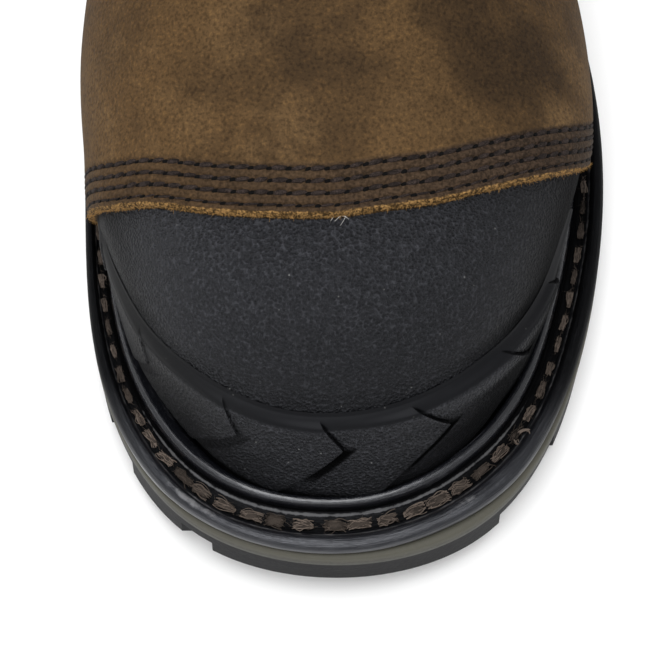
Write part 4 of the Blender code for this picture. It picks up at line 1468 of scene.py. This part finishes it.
class BOOT_OT_welt_stitches(bpy.types.Operator):
    """Worn lockstitch thread in the welt's groove, with its strands and loose fibres"""
    bl_idname = "boot.welt_stitches"
    bl_label = "Welt stitches"

    def execute(self, context):
        s = sizes_mm()
        c = colours()
        rng = np.random.default_rng(22)
        turns = pi + np.linspace(0, 2 * pi, EDGE_STEPS)
        lines = lines_at(turns)
        across = between(lines[:, 1:2], lines[:, 2:3], THREAD_ACROSS)
        line = swept(across, np.array([THREAD_HEIGHT]), turns)[:, 0]
        pitch, broad = s["welt_pitch"], s["welt_thread"]
        upright = np.tile([0.0, 0.0, 1.0], (len(line), 1))
        middles, directions, normals = stations(line, upright, pitch)
        middles = middles + directions * rng.normal(0, 0.3, (len(middles), 1))
        places = middles, directions, normals
        from_toe = middles[:, 1]
        wide = value_along(STITCH_WIDTHS, from_toe) * rng.uniform(0.75, 1.15, len(middles))
        long = value_along(STITCH_LENGTHS, from_toe) * rng.uniform(0.85, 1.12, len(middles))
        shape = stitch_shape(pitch * 0.76, broad, broad * 0.36, 0.6, 14, 12, 3)
        stretch = np.stack([long, 0.85 * wide, np.sqrt(wide)], axis=1)
        points, faces = row_of_stitches(places, shape, 4, 21, stretch)
        look = thread("welt_thread_core", c.welt_thread, shade(c.welt_thread, 1.6), 0.5)
        piece("welt_thread", points, faces, [look])

        wide, long = wide[:, None, None], long[:, None, None]
        bundle = strands(places, pitch * long, broad * wide, 0.55 * np.sqrt(wide), STRANDS, rng)
        count = LOOSE_FIBRES
        pick = rng.integers(0, len(middles), count)
        sides = np.cross(normals, directions)
        roots = middles[pick] + directions[pick] * rng.uniform(-2.4, 2.4, (count, 1))
        roots = roots + sides[pick] * rng.normal(0, 0.6, (count, 1)) * wide[pick, 0]
        roots = roots + normals[pick] * rng.uniform(0.2, 0.6, (count, 1))
        heading = directions[pick] * rng.choice([-1, 1], (count, 1))
        heading = unit(heading + rng.normal(0, 0.55, (count, 3)))
        heading[:, 2] = np.abs(heading[:, 2]) * 0.3
        curls = rng.normal(0, 0.4, (count, 3)) * (1, 1, 0.3)
        fuzz = hairs(roots, heading, curls, rng.uniform(0.4, 1.3, count), 0.045)
        loop = loose_loop(middles, directions, rng)
        points, faces = joined([bundle, fuzz, loop])
        stitch = np.repeat(rng.uniform(0, 1, len(middles))**1.5, len(bundle[0]) // len(middles))
        hair = np.repeat(rng.uniform(0, 1, count), len(fuzz[0]) // count)
        soiled = np.concatenate([stitch, hair, np.zeros(len(loop[0]))])
        look = fibre("welt_fibre", c.welt_thread, shade(c.welt_thread, 5.0))
        piece("welt_fibres", points, faces, [look], masks={"soiled": soiled})
        return {"FINISHED"}


MIDSOLE_SECTION = table(
    SectionRow, (0.60, 0.0), (0.10, 0.0), (0.025, -0.15), (0.0, -0.6), (-0.005, -2.2), (0.0, -3.8),
    (0.025, -4.25), (0.10, -MIDSOLE_THICK), (0.60, -MIDSOLE_THICK))


class BOOT_OT_midsole(bpy.types.Operator):
    """Olive midsole band between welt and outsole"""
    bl_idname = "boot.midsole"
    bl_label = "Midsole"

    def execute(self, context):
        section = np.array(MIDSOLE_SECTION, float)
        points = swept(section[:, 0], section[:, 1], WELT_TURNS)
        faces = grid_faces(*points.shape[:2], round_rows=True, round_columns=True)
        # level: carries the painted highlight along the band's upper edge
        masks = {"level": np.broadcast_to(1 + section[:, 1] / MIDSOLE_THICK, points.shape[:2])}
        look = midsole_rubber()
        piece("midsole_band", points.reshape(-1, 3), faces, [look], "midsole", masks)
        return {"FINISHED"}


SOLE_STEPS = 150
STEP_CLEARANCE = 0.4


def slab(edge, inset, levels, lugs, start):
    """Points and faces of a plate along the sole: upper face, lower face and, under lugs, the tread."""
    first = turn_at(start, edge.start, edge.end)
    cuts = [turn_at(end, edge.start, edge.end) for lug in lugs for end in (lug.start, lug.end)]
    clear = STEP_CLEARANCE * pi / SOLE_STEPS
    even = np.linspace(first, pi, SOLE_STEPS)
    free = [turn for turn in even[1:-1] if all(abs(turn - cut) > clear for cut in cuts)]
    turns = sorted({first, pi, *cuts, *free})
    columns = sorted({-1.0, 0.0, 1.0, *(side for lug in lugs for side in (lug.outer, lug.inner))})
    narrow = 1 - inset / BALL_HALF_WIDTH
    shorten = 1 - 2 * inset / (edge.end - edge.start)
    middle = (edge.start + edge.end) / 2
    points = []
    for turn in turns:
        from_toe = middle + (length_at(turn, edge.start, edge.end) - middle) * shorten
        for column in columns:
            half = edge.medial(turn) if column > 0 else edge.lateral(turn)
            for level in levels:
                points.append((column * half * narrow, from_toe, float(level(from_toe))))

    def corner(i, j, level):
        return (i * len(columns) + j) * len(levels) + level

    def is_lug(i, j):
        if not (0 <= i < len(turns) - 1 and 0 <= j < len(columns) - 1):
            return None
        here = length_at((turns[i] + turns[i + 1]) / 2, edge.start, edge.end)
        across = (columns[j] + columns[j + 1]) / 2
        return any(lug.start < here < lug.end and lug.outer < across < lug.inner for lug in lugs)

    faces = []
    for i in range(len(turns) - 1):
        for j in range(len(columns) - 1):
            ring = [(i, j), (i, j + 1), (i + 1, j + 1), (i + 1, j)]
            lower = 2 if is_lug(i, j) else 1
            faces.append([corner(*place, 0) for place in ring])
            faces.append([corner(*place, lower) for place in ring])
            beyond = [(i - 1, j), (i, j + 1), (i + 1, j), (i, j - 1)]
            for k, neighbour in enumerate(beyond):
                near, far = ring[k], ring[(k + 1) % 4]
                other = is_lug(*neighbour)
                if other is None:
                    faces.append([corner(*near, 0), corner(*far, 0), corner(*far, 1), corner(*near, 1)])
                if lower == 2 and not other:
                    faces.append([corner(*near, 1), corner(*far, 1), corner(*far, 2), corner(*near, 2)])
    return points, faces


def below_top(depth):
    """Height of a face that runs at a depth below the midsole's upper face, by length from the toe."""
    return lambda from_toe: top_line(from_toe) - depth


def heel_under(from_toe):
    """Height of the heel's face between its lugs."""
    return floor_line(from_toe) + HEEL_LUG_DEPTH


JOINT = 0.05
OUTSOLE_UNDER = MIDSOLE_THICK + GAP + OUTSOLE_BASE
OUTSOLE_LEVELS = below_top(MIDSOLE_THICK + JOINT), below_top(OUTSOLE_UNDER), floor_line
HEEL_LEVELS = below_top(OUTSOLE_UNDER + JOINT), heel_under, floor_line
INSOLE_LEVELS = below_top(-GAP - INSOLE_THICK), below_top(-GAP), below_top(-GAP)
BEVEL = 0.9
SHARP = radians(32)


def bevelled(obj):
    """Rounds the sharp edges of a moulded piece."""
    bevel = obj.modifiers.new("rounded_edges", "BEVEL")
    bevel.width = BEVEL * MM
    bevel.segments = 3
    bevel.limit_method = "ANGLE"
    bevel.angle_limit = radians(40)


class BOOT_OT_sole(bpy.types.Operator):
    """Lugged outsole and heel block, and the insole inside the boot"""
    bl_idname = "boot.sole"
    bl_label = "Sole"

    def execute(self, context):
        rubber = sole_rubber()
        points, faces = slab(SOLE, OUTSOLE_INSET, OUTSOLE_LEVELS, OUTSOLE_LUGS, SOLE.start)
        bevelled(piece("outsole_tread", points, faces, [rubber], "outsole", sharp=SHARP))
        points, faces = slab(SOLE, OUTSOLE_INSET, HEEL_LEVELS, HEEL_LUGS, HEEL_BREAST)
        bevelled(piece("heel_block", points, faces, [rubber], "heel", sharp=SHARP))
        points, faces = slab(FEATHER, INSOLE_INSET, INSOLE_LEVELS, [], FEATHER.start)
        piece("insole_cover", points, faces, [insole_cloth()], "insole", sharp=SHARP)
        return {"FINISHED"}


# Columns of the upper's grid at both ends that the lap's and the hem's stitches leave out
LAP_MARGIN = 8
HEM_MARGIN = 4
STRAP_SEWN_FROM = pi + 0.12


class BOOT_OT_seam_stitches(bpy.types.Operator):
    """Stitch rows behind the vamp's raw edge, along the lap, the back strap and the hem"""
    bl_idname = "boot.seam_stitches"
    bl_label = "Seam stitches"

    def execute(self, context):
        s = sizes_mm()
        c = colours()
        grid = upper_grid()
        thick = s["stitch_thick"]
        shape = stitch_shape(s["stitch_pitch"], thick, thick * 0.85, 0.6)
        fine = stitch_shape(s["stitch_pitch"] * 0.96, thick * 0.55, thick * 0.55, 0.3)
        # Near-black lozenges at the stitches' ends stand for the needle holes: painted shade
        hole_shade = stitch_shape(1.6, 0.85, 0.55, 0.0, 8, 6)
        lines = [grid.row_at(distance) for distance in grid.rows]
        past = vamp_way(grid.rings)
        columns = range(LAP_MARGIN, grid.rings.shape[1] - LAP_MARGIN)
        lines += [grid.crossing(past, level, columns) for level in LAP_ROWS]
        columns = range(HEM_MARGIN, grid.rings.shape[1] - HEM_MARGIN)
        lines.append(grid.crossing(-grid.down, STITCH_INSET - HEM_HEIGHT, columns))
        first = int(np.argmax(UPPER_TURNS > STRAP_SEWN_FROM))
        for side in (1, -1):
            lines.append(grid.along_ring(STRAP_HALF_WIDTH - STITCH_INSET, side, first))
        sewn, hole_shades = [], []
        for k, (points, normals) in enumerate(lines):
            places = stations(points, normals, s["stitch_pitch"])
            sewn.append(row_of_stitches(places, shape if k else fine, 9, 30 + k))
            middles, directions, normals = stations(points, normals, s["stitch_pitch"], 0.0)
            middles = middles + 0.2 * unit(np.cross(normals, directions))
            hole_shades.append(row_of_stitches((middles, directions, normals), hole_shade, 20, 50 + k))
        points, faces = joined(sewn + hole_shades)
        count = sum(len(part_faces) for _, part_faces in sewn)
        # The second look paints the needle holes' shade near black
        looks = [
            thread("seam_thread_brown", c.seam_thread, shade(c.seam_thread, 7.0), 0.6),
            thread("stitch_hole_painted_shade", (0.0015,) * 3, (0.003,) * 3, 0.5)]
        piece("seam_thread", points, faces, looks, face_looks=np.arange(len(faces)) >= count)
        return {"FINISHED"}


# Behind the seam: the two rows between which fibres stand, and one that gives their direction
FIBRES_FRONT, FIBRES_BACK, FIBRES_BEHIND = 0.25, 1.2, 2.0
EDGE_FIBRES = 2600
FRAYED_FIBRES = 8
# Share of the way along the cut edge, from its medial end
FRAYED_AT = 0.517


class BOOT_OT_raw_edge(bpy.types.Operator):
    """Loose fibres along the vamp's cut edge, and a few white frayed ones at its middle"""
    bl_idname = "boot.raw_edge"
    bl_label = "Raw edge"

    def execute(self, context):
        c = colours()
        grid = upper_grid()
        rng = np.random.default_rng(41)
        count = EDGE_FIBRES
        line, normals = grid.row_at(FIBRES_BACK)
        front = grid.row_at(FIBRES_FRONT)[0]
        forward = unit(front - grid.row_at(FIBRES_BEHIND)[0])
        run = way_along(line)
        at = rng.uniform(0, run[-1], count)
        share = rng.uniform(0, 1, count)[:, None]

        def along(vectors):
            return vectors_along(at, run, vectors)

        roots = between(along(front), along(line), share)
        heading = along(forward) * 0.8 + along(normals) * 0.7 + rng.normal(0, 0.5, (count, 3))
        curls = rng.normal(0, 0.45, (count, 3))
        points, faces = hairs(roots, unit(heading), curls, rng.uniform(0.2, 0.7, count), 0.05)
        look = fibre("edge_fibre_tan", shade(c.raw_edge, 0.5), shade(c.raw_edge, 1.2))
        piece("edge_fibres", points, faces, [look])

        count = FRAYED_FIBRES
        at = rng.normal(FRAYED_AT, 0.007, count) * run[-1]
        heading = along(forward) * 0.5 + along(normals) * 0.4 + rng.normal(0, 0.7, (count, 3))
        curls = rng.normal(0, 1.0, (count, 3))
        points, faces = hairs(along(front), unit(heading), curls, rng.uniform(0.4, 1.2, count), 0.07)
        look = fibre("frayed_white", (0.6, 0.58, 0.54), (0.75, 0.73, 0.7))
        piece("frayed_fibres", points, faces, [look])
        return {"FINISHED"}


# Half the floor's width and its depth below the tread, in metres
FLOOR_REACH = 4.0
FLOOR_DROP = 0.0001
AIR_STRENGTH = 0.58
CAMERA_TARGET = (-2.7, 46.5, 38.8)
CAMERA_DISTANCE = 650.0
CAMERA_ELEVATION = 65.0
CAMERA_LENS = 167.3

LightRow = namedtuple("LightRow", "name place aim size power")
# Soft boxes of the stage, in metres and watts
LIGHTS = [
    LightRow("top_box", (-0.05, -0.34, 1.35), (0, -0.10, 0.05), 1.0, 20),
    LightRow("front_box", (-0.3, -1.15, 0.9), (0, -0.1, 0.03), 0.9, 2.5),
    LightRow("back_box", (-0.18, 0.48, 1.25), (0, -0.1, 0.05), 0.6, 5),
]


def direction_angles(aim):
    """Euler angles that turn a lamp's own -Z to a direction."""
    flat = np.hypot(aim[0], aim[1])
    return (np.arctan2(flat, -aim[2]), 0, np.arctan2(-aim[0], aim[1]))


class BOOT_OT_stage(bpy.types.Operator):
    """Plain pale floor, soft boxes and the camera"""
    bl_idname = "boot.stage"
    bl_label = "Stage"

    def execute(self, context):
        scene = context.scene
        mesh = bpy.data.meshes.new("studio_floor")
        signs = (-1, -1), (1, -1), (1, 1), (-1, 1)
        mesh.from_pydata([(x * FLOOR_REACH, y * FLOOR_REACH, 0) for x, y in signs], [], [(0, 1, 2, 3)])
        look = Look("floor_paper")
        mesh.materials.append(look.done(Base_Color=tuple(colours().floor), Roughness=0.9))
        floor = bpy.data.objects.new("studio_floor", mesh)
        floor.location.z = -FLOOR_DROP
        scene.collection.objects.link(floor)
        for row in LIGHTS:
            light = bpy.data.lights.new(row.name, "AREA")
            light.shape = "SQUARE"
            light.size = row.size
            light.energy = row.power
            lamp = bpy.data.objects.new(row.name, light)
            lamp.location = row.place
            lamp.rotation_euler = direction_angles(np.array(row.aim) - np.array(row.place))
            scene.collection.objects.link(lamp)
        world = bpy.data.worlds.new("studio_air")
        world.use_nodes = True
        backdrop = world.node_tree.nodes["Background"]
        backdrop.inputs["Color"].default_value = (1, 1, 1, 1)
        backdrop.inputs["Strength"].default_value = AIR_STRENGTH
        scene.world = world
        scene.view_settings.view_transform = "Standard"

        lens = bpy.data.cameras.new("photo_camera")
        lens.sensor_fit = "HORIZONTAL"
        lens.sensor_width = 36
        lens.lens = CAMERA_LENS
        camera = bpy.data.objects.new("photo_camera", lens)
        lift = radians(CAMERA_ELEVATION)
        away = np.array([0, -cos(lift), sin(lift)]) * CAMERA_DISTANCE * MM
        camera.location = placed(CAMERA_TARGET) + away
        camera.rotation_euler = (pi / 2 - lift, 0, 0)
        scene.collection.objects.link(camera)
        scene.camera = camera
        return {"FINISHED"}


class BOOT_PT_dressing(bpy.types.Panel):
    """Lists the boot's pieces, sizes and colours"""
    bl_idname = "BOOT_PT_dressing"
    bl_label = "Boot"
    bl_space_type = "VIEW_3D"
    bl_region_type = "UI"
    bl_category = "Boot"

    def draw(self, context):
        for operator in OPERATORS:
            self.layout.operator(operator.bl_idname)
        for group in (context.scene.boot_sizes, context.scene.boot_colours):
            box = self.layout.box()
            for name in type(group).__annotations__:
                box.prop(group, name)


OPERATORS = (
    BOOT_OT_stage, BOOT_OT_upper, BOOT_OT_toe_cap, BOOT_OT_welt, BOOT_OT_welt_stitches,
    BOOT_OT_midsole, BOOT_OT_sole, BOOT_OT_seam_stitches, BOOT_OT_raw_edge)
CLASSES = (BootColours, BootSizes, *OPERATORS, BOOT_PT_dressing)


def register():
    for cls in CLASSES:
        bpy.utils.register_class(cls)
    bpy.types.Scene.boot_colours = bpy.props.PointerProperty(type=BootColours)
    bpy.types.Scene.boot_sizes = bpy.props.PointerProperty(type=BootSizes)


def unregister():
    del bpy.types.Scene.boot_sizes
    del bpy.types.Scene.boot_colours
    for cls in reversed(CLASSES):
        bpy.utils.unregister_class(cls)


def main():
    register()
    bpy.ops.boot.stage()
    bpy.ops.boot.upper()
    bpy.ops.boot.toe_cap()
    bpy.ops.boot.welt()
    bpy.ops.boot.welt_stitches()
    bpy.ops.boot.midsole()
    bpy.ops.boot.sole()
    bpy.ops.boot.seam_stitches()
    bpy.ops.boot.raw_edge()


if __name__ == "__main__":
    main()
